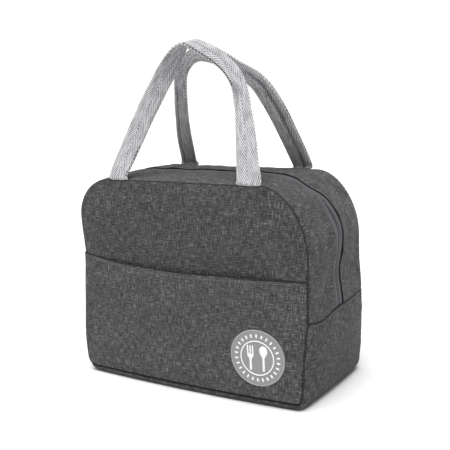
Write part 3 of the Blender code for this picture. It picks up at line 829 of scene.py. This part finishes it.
def make_gusset(name, key, ids, stations, before, after, ends, nodes, half):
    """A gusset fabric: its simulated grid, with columns before and after that roll into seams."""
    stations = np.asarray(stations)
    grid = settle(SHEETS[key]) + PUFF[key]
    along = along_path(ids)
    distance = np.broadcast_to(Y_SEAM - np.abs(stations), grid.shape[:2])
    out = pucker(np.broadcast_to(along[:, None], grid.shape[:2]), distance, 21.0)
    if key == "base":                 # flat on the floor
        out = out * (NORMAL[ids][:, 1] >= -0.5)[:, None]
    else:                             # ripples and a wandering lip beside the zip
        near_zip = np.abs(stations) - ZIP_OPENING
        ripples = np.clip(waves_over(along[:, None] / 0.011, near_zip / 0.02, 5.0) + 0.2, 0, None)
        out = out + 0.0011 * ripples * np.exp(-near_zip / 0.009)
        lip = waves_over(along / 0.026, 0.0, 8.0 + np.sign(stations[0]))
        grid[..., 1] += 0.0014 * lip[:, None] * np.exp(-near_zip / 0.006)
    grid += path_out(ids)[:, None, :] * out[..., None]
    to_fold = np.abs(np.minimum(along - along[0], along[-1] - along))
    # painted shade: the cloth is darker near its seams and folds, and darkest on the rows and
    # columns that turn into them
    seam = np.minimum(distance, to_fold[:, None] * 0.8)
    if key != "base":
        seam[:, -1] = -0.0006         # painted shade, dark right up to the zip
    rolled = [np.stack([settle(gusset_grid(ids, [y], depth))[:, 0] for y, depth in roll], 1)
              for roll in (before[::-1], after)]
    grid = np.concatenate([rolled[0], grid, rolled[1]], 1)
    y_all = [y for y, _ in before[::-1]] + list(stations) + [y for y, _ in after]
    seam = np.pad(seam, ((0, 0), (len(before), len(after))))
    for rise, inward in ends:         # both ends turn in under the side seam
        turned = [row + np.array([-np.sign(row[0, 0]) * inward, 0, rise])
                  for row in (grid[0], grid[-1])]
        grid = np.concatenate([[turned[0]], grid, [turned[1]]])
        along = np.concatenate([[along[0] - abs(rise)], along, [along[-1] + abs(rise)]])
        seam = np.pad(seam, ((1, 1), (0, 0)))
    rows, columns = grid.shape[:2]
    weave = np.stack(np.broadcast_arrays(along[:, None], np.array(y_all)[None]), -1)
    faces = grid_faces(rows, columns, flip=y_all[-1] > y_all[0])
    piece = add_piece(name, grid, faces, SHADED_GUSSET_CLOTH, weave, seam)
    thicken(piece, FABRIC * 0.8)
    return stands_for(piece, nodes, half)


def make_pocket():
    """The pocket: its sides and base roll into the seams, and its mouth has a folded hem."""
    flat = SHEETS["pocket"]
    x, z = flat[..., 0], flat[..., 2]
    move = PUFF["pocket"].copy()
    move[..., 1] = np.minimum(move[..., 1], 0)
    grid = settle(flat) + move
    distance, along = seam_distance(flat)
    out = pucker(along, distance, 40.0, 0.0005)
    broad = waves_over(x / 0.055, z / 0.045, 50.0)
    grid[..., 1] -= out + 0.0008 * np.clip(broad + 0.3, 0, None) * smoothstep(0, 0.03, distance)
    # The hem: each row is so far behind the mouth, above it, and further along the cloth
    ease = 0.5 + 0.5 * np.clip(pocket_ease(x[-1], z[-1]) / 0.002, 0, 1)
    hem = ((0.0003, 0.0003, 0.0004), (0.0009, 0.0008, 0.001), (0.00155, -0.0008, 0.0028),
           (0.0016, -0.0095, 0.011))
    still = np.zeros_like(ease)
    turned = [grid[-1] + np.stack([still, back * ease, still + up], 1) for back, up, _ in hem]
    cloth = np.concatenate([flat[..., [0, 2]]] + [[flat[-1][:, [0, 2]] + (0, on)]
                                                  for _, _, on in hem])
    # painted shadow in the pocket's mouth: its top row darkens towards both ends, and the rows
    # turned behind it are dark
    distance[-1] = 0.0006 * (1 - smoothstep(0.02, 0.08, np.abs(x[-1])))
    seam = np.concatenate([distance, distance[-1:], np.zeros((len(hem) - 1, len(x[-1])))])
    grid = np.concatenate([grid, turned])
    rows, columns = grid.shape[:2]
    ids = np.arange(rows * columns).reshape(rows, columns)
    edge = np.concatenate([ids[:POCKET_ROWS + 1, 0][::-1], ids[0, 1:-1],
                           ids[:POCKET_ROWS + 1, -1]])
    rings = []
    for inset, y in POCKET_ROLL:
        base, _, left, right = pocket_edges(inset)
        rings.append((np.concatenate([left[::-1], base[1:-1], right]), -(Y_PANEL + y)))
    piece = rolled_sheet("pocket", grid, grid_faces(rows, columns), cloth + POCKET_CUT, seam,
                         edge, rings, POCKET_CUT, True, LIT_POCKET_CLOTH)
    thicken(piece, FABRIC * 0.8)
    stands_for(piece, ["pocket_lower", "pocket_upper"], "front_half")
    return piece, grid[POCKET_ROWS]


make_panel("front", -1, 0.0)
make_panel("back", 1, 0.7)
zip_gussets = {}
for face, side in FACES:
    zip_gussets[side] = make_gusset(
        f"gusset_{face}", f"zip_{face}", UPPER, side * ZIP_STATIONS,
        [(side * (Y_SEAM - inset), depth) for inset, depth in SEAM_ROLL],
        [(side * (ZIP_OPENING + inset), depth) for inset, depth in ZIP_ROLL],
        [(-0.0002, 0.0006)], [f"gusset_upper_{face}"], f"{face}_half")
base_gusset = make_gusset(
    "gusset_base", "base", LOWER, BASE_STATIONS,
    [(inset - Y_SEAM, depth) for inset, depth in SEAM_ROLL],
    [(Y_SEAM - inset, depth) for inset, depth in SEAM_ROLL],
    [(0.0004, 0.0002), (-0.0002, 0.0012)], ["gusset_lower"], None)
pocket, pocket_mouth_points = make_pocket()


# ---------------------------------------------------------------- inner layers

FOAM_LAYER = (FOAM_OUT, FOAM_THICK, FOAM, "foam")
LINING_LAYER = (LINING_OUT, LINING_THICK, FOIL, "foil_lining")
BINDING_LAYER = (BINDING_OUT, BINDING_THICK, BINDING, "binding")
TAPE_LAYER = (TAPE_OUT, TAPE_THICK, TAPE, "zip_tape")


def inner_panel(name, face, side, layer, nodes):
    depth, thickness, material, slot = layer
    grid = settle(panel_grid(side, depth, Y_PANEL - depth)) + PUFF[face]
    rows, columns = grid.shape[:2]
    piece = add_piece(name, grid, grid_faces(rows, columns, flip=side > 0), material,
                      grid[..., [0, 2]])
    thicken(piece, thickness)
    return stands_for(piece, nodes, f"{face}_half")


def inner_strip(name, key, ids, y_values, layer, node, half):
    """A layer inside the gusset, which takes the movement of the fabric sheet named key."""
    depth, thickness, material, slot = layer
    grid = settle(gusset_grid(ids, y_values, depth))
    if key:
        known = ZIP_STATIONS[::-1] if key != "base" else BASE_STATIONS
        moves = PUFF[key][:, ::-1] if key != "base" else PUFF[key]
        wanted = np.abs(y_values) if key != "base" else y_values
        grid = grid + np.stack([read_off(wanted, known, row) for row in moves])
    rows, columns = grid.shape[:2]
    weave = np.stack(np.broadcast_arrays(along_path(ids)[:, None], y_values[None]), -1)
    piece = add_piece(name, grid, grid_faces(rows, columns, flip=y_values[-1] > y_values[0]),
                      material, weave)
    thicken(piece, thickness)
    return stands_for(piece, [node], half)


def make_layer(name, layer):
    """Front, back, base and both zip strips of the foam or the lining."""
    edge = Y_PANEL - layer[0] - layer[1] - GAP
    zip_edge = TAPE_EDGE + GAP
    share = (ZIP_STATIONS - ZIP_OPENING) / (Y_SEAM - GUSSET_ROLL - ZIP_OPENING)
    made = []
    for face, side in FACES:
        made.append(inner_panel(f"{name}_{face}", face, side, layer,
                                [f"{name}_{face}_lower", f"{name}_{face}_upper"]))
        made.append(inner_strip(f"{name}_top_{face}", f"zip_{face}", UPPER,
                                side * (zip_edge + (edge - zip_edge) * share), layer,
                                f"{name}_gusset_{face}", f"{face}_half"))
    made.append(inner_strip(f"{name}_base", "base", LOWER,
                            BASE_STATIONS * edge / np.abs(BASE_STATIONS).max(), layer,
                            f"{name}_gusset_lower", None))
    return made


for foam_piece in make_layer("foam", FOAM_LAYER):
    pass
make_layer("lining", LINING_LAYER)

Y_BINDING = Y_PANEL - LINING_OUT - LINING_THICK - GAP
for face, side in FACES:
    for part, ids, half in (("upper", UPPER, f"{face}_half"), ("lower", LOWER, None)):
        inner_strip(f"binding_{face}_{part}", None, ids,
                    side * np.linspace(Y_BINDING, Y_BINDING - BINDING_WIDTH, 4), BINDING_LAYER,
                    f"seam_binding_{face}_{part}", half)


# ---------------------------------------------------------------- zip

TOOTH_PITCH, TOOTH_LENGTH, TOOTH_RADIUS, SPINE_RADIUS = 0.0017, 0.0024, 0.00055, 0.0005


def zip_line(y, depth):
    return settle(gusset_grid(UPPER, [y], depth))[:, 0]


def capsule(centre, axis, up, length, radius, flat=1.0, sides=6):
    """A rounded rod as points and faces."""
    axis, up = Vector(axis).normalized(), Vector(up)
    up = (up - axis * up.dot(axis)).normalized()
    across = axis.cross(up)
    points = []
    rings = [(-0.5, 0.35), (-0.42, 0.85), (0.0, 1.0), (0.42, 0.85), (0.5, 0.35)]
    for place, size in rings:
        for k in range(sides):
            t = 2 * math.pi * k / sides
            points.append(Vector(centre) + axis * (length * place)
                          + across * (radius * size * math.cos(t))
                          + up * (radius * size * flat * math.sin(t)))
    return points, tube_faces(len(rings), sides)


def collect(parts):
    """Join many small bodies into one set of points and faces."""
    points, faces = [], []
    for some_points, some_faces in parts:
        first = len(points)
        points += [tuple(p) for p in some_points]
        faces += [[first + i for i in f] for f in some_faces]
    return points, faces

def spaced(line, normals, pitch, offset=0.0):
    """Evenly spaced (point, direction, normal) along a line."""
    s = distances(line)
    wanted = np.arange(pitch / 2 + offset, s[-1] - pitch / 4, pitch)
    return [(Vector(p), (Vector(q) - Vector(p)).normalized(), Vector(n).normalized())
            for p, q, n in zip(read_off(wanted, s, line), read_off(wanted + pitch / 4, s, line),
                               read_off(wanted, s, normals))]


zip_out = path_out(UPPER)
for face, side in FACES:
    inner_strip(f"tape_{face}", None, UPPER, side * np.linspace(TAPE_EDGE, COIL_OUTER + GAP, 6),
                TAPE_LAYER, f"zip_tape_{face}", f"{face}_half")
    line = zip_line(side * 0.0008, 0.0013)
    teeth = [capsule(p, Vector((0, 1, 0)) + d * 0.12 * side, n, TOOTH_LENGTH, TOOTH_RADIUS)
             for p, d, n in spaced(line, zip_out, TOOTH_PITCH,
                                   0 if side < 0 else TOOTH_PITCH / 2)]
    spine = [Vector(p) for p in zip_line(side * COIL_OUTER, 0.0014)]
    for a, b, n in zip(spine, spine[1:], zip_out):
        teeth.append(capsule((a + b) / 2, b - a, n, (b - a).length * 1.08, SPINE_RADIUS))
    stands_for(add_piece(f"coil_{face}", *collect(teeth), COIL), [f"zip_coil_{face}"],
               f"{face}_half")

for node in ("zip_slider", "zip_pull_tab"):
    metal = frame["nodes"][node]
    metal.data.materials.clear()
    metal.data.materials.append(METAL)


# ---------------------------------------------------------------- stitches

def surface_of(piece):
    """The piece's finished outer surface, to lay things on."""
    shape = piece.evaluated_get(bpy.context.evaluated_depsgraph_get())
    mesh = shape.to_mesh()
    tree = BVHTree.FromPolygons([v.co.copy() for v in mesh.vertices],
                                [tuple(p.vertices) for p in mesh.polygons])
    shape.to_mesh_clear()
    return tree


def laid(tree, points, inward, reach=0.02):
    """Drop points on a surface along their inward directions."""
    found, normals = [], []
    for p, d in zip(points, inward):
        d = Vector(d).normalized()
        hit, normal, _, _ = tree.ray_cast(Vector(p) - d * reach, d, 2 * reach)
        found.append(np.array(hit if hit else p))
        normals.append(np.array(normal if hit and normal.dot(d) < 0 else -d))
    return np.array(found), np.array(normals)


STITCH_PITCH, STITCH_LIFT = 0.0034, 0.00005
SEAM_STITCH_LENGTH, SEAM_STITCH_RADIUS = 0.0029, 0.00042


def stitch_row(name, tree, points, inward, material, length=0.0026,
               pitch=STITCH_PITCH, radius=0.00030):
    """Short stitches laid on a surface, half sunk into it."""
    line, normals = laid(tree, points, inward)
    rods = [capsule(p + n * STITCH_LIFT, d, n, length, radius, flat=0.75)
            for p, d, n in spaced(line, normals, pitch)]
    piece = add_piece(name, *collect(rods), material)
    return piece


pocket_tree = surface_of(pocket)
hem_line = pocket_mouth_points[1:-1] - np.array([0, 0, 0.0024])
hem = stitch_row("pocket_hem_stitches", pocket_tree, hem_line, [(0, 1, 0)] * len(hem_line),
                 GREY_THREAD)
ride_or_blend(hem, "front_half")
for face, side in FACES:
    tree = surface_of(zip_gussets[side])
    line = zip_line(side * (ZIP_OPENING + 0.0018), -0.0005)
    row = stitch_row(f"zip_stitches_{face}", tree, line[1:-1], -zip_out[1:-1], GREY_THREAD)
    ride_or_blend(row, f"{face}_half")
for face, side in FACES:
    for part, ids, half in (("upper", UPPER, f"{face}_half"), ("lower", LOWER, None)):
        line = settle(at_depth(LOOP[ids] - NORMAL[ids] * 0.0005, side * (Y_SEAM + 0.0001)))
        rods = [capsule(p, d, n, SEAM_STITCH_LENGTH, SEAM_STITCH_RADIUS)
                for p, d, n in spaced(line, path_out(ids), STITCH_PITCH)]
        row = add_piece(f"seam_stitches_{face}_{part}", *collect(rods), DARK_THREAD)
        ride_or_blend(row, half)
base_tree = surface_of(base_gusset)
for name, side in (("left", -1), ("right", 1)):
    line = settle([(side * 0.12, y, Z_FOLD - 0.0022) for y in np.linspace(-0.053, 0.053, 60)])
    row = stitch_row(f"side_seam_stitches_{name}", base_tree, line, [(-side, 0, 0)] * len(line),
                     GREY_THREAD)
    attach(row, "bag_body")


# ---------------------------------------------------------------- badge

FILM, LIFT = 0.0005, 0.0002
HIGH, PRINT = LIFT + FILM, 0.00025
MM = 0.00125                 # the pictogram is drawn in these units
GRAINS, GRAIN_CIRCLE, GRAIN_LENGTH, GRAIN_WIDTH = 26, 0.0192, 0.0017, 0.0008


def on_pocket(outline, lift):
    """Points in front of the pocket, laid on it."""
    points = [(x, -0.09, z) for x, z in outline]
    found, _ = laid(pocket_tree, points, [(0, 1, 0)] * len(points), 0.05)
    found[:, 1] -= lift
    return found


def print_shape(name, loops, lift, thickness, material, fill=True):
    """A raised film between matching loops of points, and inside the last of them if filled."""
    count, rings = len(loops[0]), len(loops)
    flat = [p for loop in loops for p in loop]
    points = np.concatenate([on_pocket(flat, lift + thickness), on_pocket(flat, lift)])
    under = len(flat)
    faces = tube_faces(rings, count)[:-2]      # without its ends
    if fill:
        faces.append([(rings - 1) * count + c for c in range(count)])
    faces += [[under + i for i in reversed(face)] for face in faces]
    for first in [0] if fill else [0, (rings - 1) * count]:
        for c in range(count):
            a, b = first + c, first + (c + 1) % count
            wall = [a, under + a, under + b, b]
            faces.append(wall[::-1] if first else wall)
    piece = add_piece(name, points, faces, material, np.array(flat + flat))
    fix_normals(piece)
    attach(piece, "bag_body")
    return piece


def circle(radius, count=72):
    t = np.linspace(0, 2 * math.pi, count, endpoint=False)
    return [(BADGE_X + radius * math.cos(a), BADGE_Z + radius * math.sin(a)) for a in t]


def bar(points, widths):
    """Loops of a bar with a rounded outline, from its edge to its middle line."""
    points, widths = np.array(points, float), np.array(widths, float)[:, None]
    t = np.gradient(points, axis=0)
    t /= np.linalg.norm(t, axis=1)[:, None]
    n = np.stack([-t[:, 1], t[:, 0]], 1)
    loops = []
    for size in (1.0, 0.4):
        outline = np.concatenate([points + n * widths * size, (points - n * widths * size)[::-1]])
        loops.append([tuple(p) for p in outline + (BADGE_X, BADGE_Z)])
    return loops


def tine(x, low=1.2 * MM, high=8.6 * MM, width=MM, steps=10):
    z = np.linspace(low, high, steps)
    end = np.minimum(1, np.minimum(z - low, high - z) / (width / 2) + 0.35)
    return bar(np.stack([np.full(steps, x), z], 1), width / 2 * end)


def grain(turn):
    """An ellipse on the badge's ring of grains."""
    loops = []
    for size in (1.0, 0.5):
        t = np.linspace(0, 2 * math.pi, 14, endpoint=False)
        far = GRAIN_CIRCLE + GRAIN_LENGTH * size * np.cos(t)
        wide = GRAIN_WIDTH * size * np.sin(t)
        loops.append([(BADGE_X + f * math.cos(turn) - w * math.sin(turn),
                       BADGE_Z + f * math.sin(turn) + w * math.cos(turn))
                      for f, w in zip(far, wide)])
    return loops


disc = print_shape("badge_disc_print",
                   [circle(BADGE_RADIUS * k)
                    for k in (1.0, 0.985, 0.9, 0.75, 0.6, 0.45, 0.3, 0.15, 0.05)],
                   LIFT, FILM, BADGE_GREY)
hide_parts("badge_disc")
ring = print_shape("badge_ring_print", [circle(r) for r in (0.0153, 0.0148, 0.0143)], HIGH,
                   PRINT, BADGE_WHITE, fill=False)
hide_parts("badge_ring")
print_shape("badge_rim_print", [circle(r) for r in (0.0243, 0.0239, 0.0234)], HIGH, 0.0002,
            BADGE_RIM, fill=False)
for k, x in enumerate((-6.6, -4.8, -3.0)):
    print_shape(f"badge_fork_tine_{k}", tine(x * MM), HIGH, PRINT, BADGE_WHITE)
FORK = [(2.4, 2.3), (1.6, 2.3), (0.8, 2.1), (0.0, 1.6), (-1.0, 0.95), (-2.0, 0.75),
        (-4.0, 0.75), (-6.5, 0.85), (-8.4, 0.8), (-9.0, 0.35)]
SPOON = [(8.8, 0.5), (8.4, 1.5), (7.4, 2.4), (6.0, 2.9), (4.4, 2.9), (2.8, 2.3), (1.6, 1.5),
         (0.6, 0.85), (-1.0, 0.72), (-4.0, 0.75), (-6.5, 0.85), (-8.4, 0.8), (-9.0, 0.35)]
for name, x, outline, lift in (("fork_handle", -4.8, FORK, HIGH + 0.00001),
                               ("spoon", 4.6, SPOON, HIGH)):
    heights, half_widths = np.array(outline).T * MM
    line = np.stack([np.full(len(outline), x * MM), heights], 1)
    print_shape(f"badge_{name}", bar(line, half_widths), lift, PRINT, BADGE_WHITE)
for k in range(GRAINS):
    print_shape(f"badge_grain_{k:02d}", grain(2 * math.pi * (k + 0.5) / GRAINS), HIGH, 0.00022,
                BADGE_WHITE)


# ---------------------------------------------------------------- handles

FRONT_ROUTE = [(-0.0670, -0.0570, 0.1869), (-0.0667, -0.0552, 0.1920),
               (-0.0604, -0.0460, 0.2130), (-0.0517, -0.0365, 0.2380),
               (-0.0425, -0.0275, 0.2610), (-0.0315, -0.0185, 0.2845),
               (-0.0192, -0.0118, 0.3022), (0.0005, -0.0130, 0.2965),
               (0.0220, -0.0178, 0.2852), (0.0390, -0.0243, 0.2685),
               (0.0495, -0.0345, 0.2430), (0.0570, -0.0450, 0.2170),
               (0.0636, -0.0552, 0.1920), (0.0640, -0.0570, 0.1869)]
BACK_ROUTE = [(-0.0655, 0.0570, 0.1869), (-0.0656, 0.0560, 0.1920),
              (-0.0612, 0.0440, 0.2110), (-0.0550, 0.0315, 0.2350),
              (-0.0487, 0.0215, 0.2575), (-0.0400, 0.0120, 0.2800),
              (-0.0195, 0.0050, 0.2932), (0.0025, 0.0040, 0.2902),
              (0.0203, 0.0080, 0.2795), (0.0378, 0.0150, 0.2664),
              (0.0475, 0.0270, 0.2445), (0.0540, 0.0395, 0.2205),
              (0.0594, 0.0560, 0.1920), (0.0597, 0.0570, 0.1869)]
# Half turns over the crown, then how far the webbing is folded on the left, at the crown and
# on the right, and the shares of the route where it closes, is closed, opens and is open
FRONT_SHAPE = (1, 0.64, 1.0, 0.17, 0.41, 0.55, 0.70, 0.97)
BACK_SHAPE = (0, 0.50, 0.95, 0.44, 0.08, 0.34, 0.61, 0.80)
CROWN_START, CROWN_END = 0.30, 0.60
FOOT_FLARE, FLARE_END, FOOT_GATHERS = 0.30, 0.08, 0.10
END_TURN = 0.15              # share of the turn that each leg makes
ROUTE_STEPS = 6
TWIST_SHADE = 0.00045        # painted shade on the webbing where it turns over


def smooth_route(route):
    stops = [Vector(p) for p in route]
    stops = [2 * stops[0] - stops[1]] + stops + [2 * stops[-1] - stops[-2]]
    points = []
    for i in range(1, len(stops) - 2):
        a, b, c, d = stops[i - 1:i + 3]
        for k in range(ROUTE_STEPS):
            t = k / ROUTE_STEPS
            points.append(0.5 * (2 * b + (c - a) * t + (2 * a - 5 * b + 4 * c - d) * t ** 2
                                 + (3 * b - a - 3 * c + d) * t ** 3))
    return points + [stops[-2]]


def fold_at(s, left, crown, right, closes, closed, opens, opened):
    """How far the webbing's width is folded in: 0 is flat, 1 is the narrowest grip."""
    if s < CROWN_END:
        closing = (crown - left) * smoothstep(closes, closed, s)
        return float(left + closing - FOOT_FLARE * (1 - smoothstep(0, FLARE_END, s)))
    return float(crown + (right - crown) * smoothstep(opens, opened, s))


def webbing_section(fold):
    """Cross-section of the webbing as (across, out) pairs: flat, or folded to a grip."""
    half_width = (WEBBING + (GRIP_WIDTH - WEBBING) * fold) / 2
    half_thick = (WEBBING_THICK + (GRIP_THICK - WEBBING_THICK) * fold) / 2
    shares = np.linspace(0.97, -0.97, SECTION_POINTS // 2 - 1)
    rise = half_thick * (1 - np.abs(shares) ** 4.4) ** (0.27 - 0.07 * fold)
    top = [(half_width * share, height) for share, height in zip(shares, rise)]
    loop = top + [(-half_width, 0.0)] + [(-across, -out) for across, out in top]
    return loop + [(half_width, 0.0)], half_width, half_thick


def turned(s):
    """Share of the half turns made by a share of the route."""
    return float(END_TURN * smoothstep(0, CROWN_START, s)
                 + (1 - 2 * END_TURN) * smoothstep(CROWN_START, CROWN_END, s)
                 + END_TURN * smoothstep(CROWN_END, 1, s))


def make_handle(face, side, route, shape, crease, material):
    """Webbing swept along the route, flat at the feet and folded narrow at the grip."""
    centre = smooth_route(route)
    for end in (0, -1):               # the feet go down into the top seam
        centre[end] = Vector((centre[end].x, side * (Y_SEAM - 0.0001), Z_TOP - 0.0006))
    last = len(centre) - 1
    lengths = distances(np.array(centre))
    turns, *folds = shape
    points, weave, groove_shade, frames = [], [], [], []
    for i, (point, travelled) in enumerate(zip(centre, lengths)):
        s = i / last
        along = (centre[min(i + 1, last)] - centre[max(i - 1, 0)]).normalized()
        upright = Vector((0, 0, 1 if s < 0.5 else -1))
        along = upright.lerp(along, float(smoothstep(0, FLARE_END, min(s, 1 - s)))).normalized()
        facing = Vector((0, side, 0))
        facing = (facing - along * facing.dot(along)).normalized()
        outward = along.cross(facing) * side
        turn = turns * math.pi * turned(s)
        face_dir = facing * math.cos(turn) - outward * math.sin(turn)
        width_dir = along.cross(face_dir)
        fold = fold_at(s, *folds)
        loop, half_width, half_thick = webbing_section(fold)
        foot = 1 - float(smoothstep(0.0, FOOT_GATHERS, min(s, 1 - s)))
        # painted shade where the webbing turns over, added to the groove's shade
        shade = TWIST_SHADE * float(bell((s - 0.38) / 0.07)) * abs(turns)
        spread = 1 + 0.03 * wavy(travelled / 0.02, 0, 70 + side)
        for a, b in loop:
            share = a / half_width
            outer = -1 if b < 0 else 1
            wave = 0.0004 * wavy(travelled / 0.016, a / 0.012, 60 + side)
            gather = 0.0006 * foot * math.sin(share * 7.0 + side)
            groove = crease(s, share) * (b < 0) * min(1.0, abs(b) / half_thick * 2)
            cup = 0.0008 * (share ** 2 - 0.4) * (1 - fold)
            points.append(point + width_dir * a * spread
                          + face_dir * (b - outer * groove + wave + gather + cup))
            # painted shade: the grooves' depth and the twist darken the webbing's colour
            groove_shade.append(groove + shade)
            weave.append((travelled, a, 0.0))
        frames.append((point, width_dir, face_dir, half_width, half_thick))
    piece = add_piece(f"{face}_handle_webbing", points, tube_faces(last + 1, SECTION_POINTS),
                      material, weave, groove_shade)
    fix_normals(piece)
    round_off(piece)
    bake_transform(piece)
    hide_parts(f"{face}_handle")
    return surface_of(piece), frames


def front_crease(s, share):
    """Depth of the fold lines: along the grip's top face, and where the grip opens. It also sets
    their painted shade.
    """
    grip = float(smoothstep(0.46, 0.52, s) * (1 - smoothstep(0.66, 0.72, s)))
    lines = 0.0005 * grip * float(bell((share - 0.12) / 0.07) + bell((share + 0.80) / 0.07))
    return lines + 0.0011 * float(bell((s - 0.715) / 0.022) * bell((share + 0.55) / 0.35))


def back_crease(s, share):
    """Depth of the groove between the back handle's folded bands, which also sets its painted
    shade.
    """
    right = float(smoothstep(0.60, 0.68, s))
    left = 1 - float(smoothstep(0.30, 0.38, s))
    return (0.0014 * right * float(bell((share - 0.20) / 0.12))
            + 0.0010 * left * float(bell((share - 0.40) / 0.14)))


def handle_stitches(name, tree, frames, limits, share, face, material, pitch=0.0040,
                    radius=0.00034):
    """Stitches along one face of the webbing, between two shares of its route."""
    low, high = (int(k * (len(frames) - 1)) for k in limits)
    line = [np.array(point + width_dir * half_width * share + face_dir * face * half_thick)
            for point, width_dir, face_dir, half_width, half_thick in frames[low:high]]
    inward = [-np.array(frame[2]) * face for frame in frames[low:high]]
    row = stitch_row(name, tree, line, inward, material, 0.0028, pitch, radius)
    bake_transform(row)


front = make_handle("front", -1, FRONT_ROUTE, FRONT_SHAPE, front_crease, WEB)
handle_stitches("front_grip_stitches", *front, (0.47, 0.73), -0.84, -1, DARK_THREAD, 0.0034,
                0.00050)
handle_stitches("front_foot_stitches", *front, (0.04, 0.20), 0.86, 1, GREY_THREAD)
handle_stitches("front_under_stitches", *front, (0.52, 0.70), -0.84, 1, GREY_THREAD)
back = make_handle("back", 1, BACK_ROUTE, BACK_SHAPE, back_crease, SHADED_BACK_WEB)
handle_stitches("back_edge_stitches", *back, (0.70, 0.96), 0.86, -1, WHITE_THREAD, 0.0036,
                0.00045)
handle_stitches("back_left_stitches", *back, (0.05, 0.30), 0.22, -1, WHITE_THREAD)
handle_stitches("back_outer_stitches", *back, (0.10, 0.90), 0.84, 1, GREY_THREAD)


# ---------------------------------------------------------------- stage

FLOOR_HALF = 6.0
YAW, PITCH, ROLL = 0.53700, 0.195, -0.0360
CAMERA_PLACE, LENS, SENSOR = (0.349618, -0.574679, 0.271659), 59.605, 36.0


def make_floor():
    mesh = bpy.data.meshes.new("floor")
    corners = [(x * FLOOR_HALF, y * FLOOR_HALF, 0)
               for x, y in ((-1, -1), (1, -1), (1, 1), (-1, 1))]
    mesh.from_pydata(corners, [], [(0, 1, 2, 3)])
    s = Shader("white_floor", Roughness=0.9, Specular_IOR_Level=0.1)
    place = s.node("ShaderNodeTexCoord", {}, "Object")
    mesh.materials.append(s.finish(
        s.ramp(s.noise(place, 8, 2), [(0.3, (0.83, 0.83, 0.83)), (0.7, (0.85, 0.85, 0.85))])))
    new_object("floor", mesh)


def make_lights():
    """A broad sun overhead, and a white backdrop whose own light is softer."""
    sun = bpy.data.lights.new("overhead", "SUN")
    sun.energy, sun.angle = 4.2, math.radians(50)
    new_object("overhead", sun).rotation_euler = (math.radians(13), math.radians(1), 0)
    world = bpy.data.worlds.new("studio")
    bpy.context.scene.world = world
    world.use_nodes = True
    sky = world.node_tree
    background = sky.nodes["Background"]
    background.inputs["Color"].default_value = (1.0, 1.0, 1.0, 1.0)
    ray = sky.nodes.new("ShaderNodeLightPath")
    strength = sky.nodes.new("ShaderNodeMath")
    strength.operation = "MULTIPLY_ADD"
    strength.inputs[1].default_value, strength.inputs[2].default_value = 0.62, 0.38
    sky.links.new(ray.outputs["Is Camera Ray"], strength.inputs[0])
    sky.links.new(strength.outputs[0], background.inputs["Strength"])
    bpy.context.scene.view_settings.view_transform = "Standard"


def make_camera():
    """The camera at the photograph's angle."""
    forward = Vector((-math.sin(YAW) * math.cos(PITCH), math.cos(YAW) * math.cos(PITCH),
                      -math.sin(PITCH)))
    right = Vector((math.cos(YAW), math.sin(YAW), 0))
    up = right.cross(forward)
    turned_right = right * math.cos(ROLL) + up * math.sin(ROLL)
    turned_up = up * math.cos(ROLL) - right * math.sin(ROLL)
    data = bpy.data.cameras.new("camera")
    data.sensor_width, data.lens = SENSOR, LENS
    camera = new_object("camera", data)
    camera.matrix_world = Matrix.Translation(CAMERA_PLACE) @ Matrix(
        (turned_right, turned_up, -forward)).transposed().to_4x4()
    bpy.context.scene.camera = camera


make_floor()
make_lights()
make_camera()
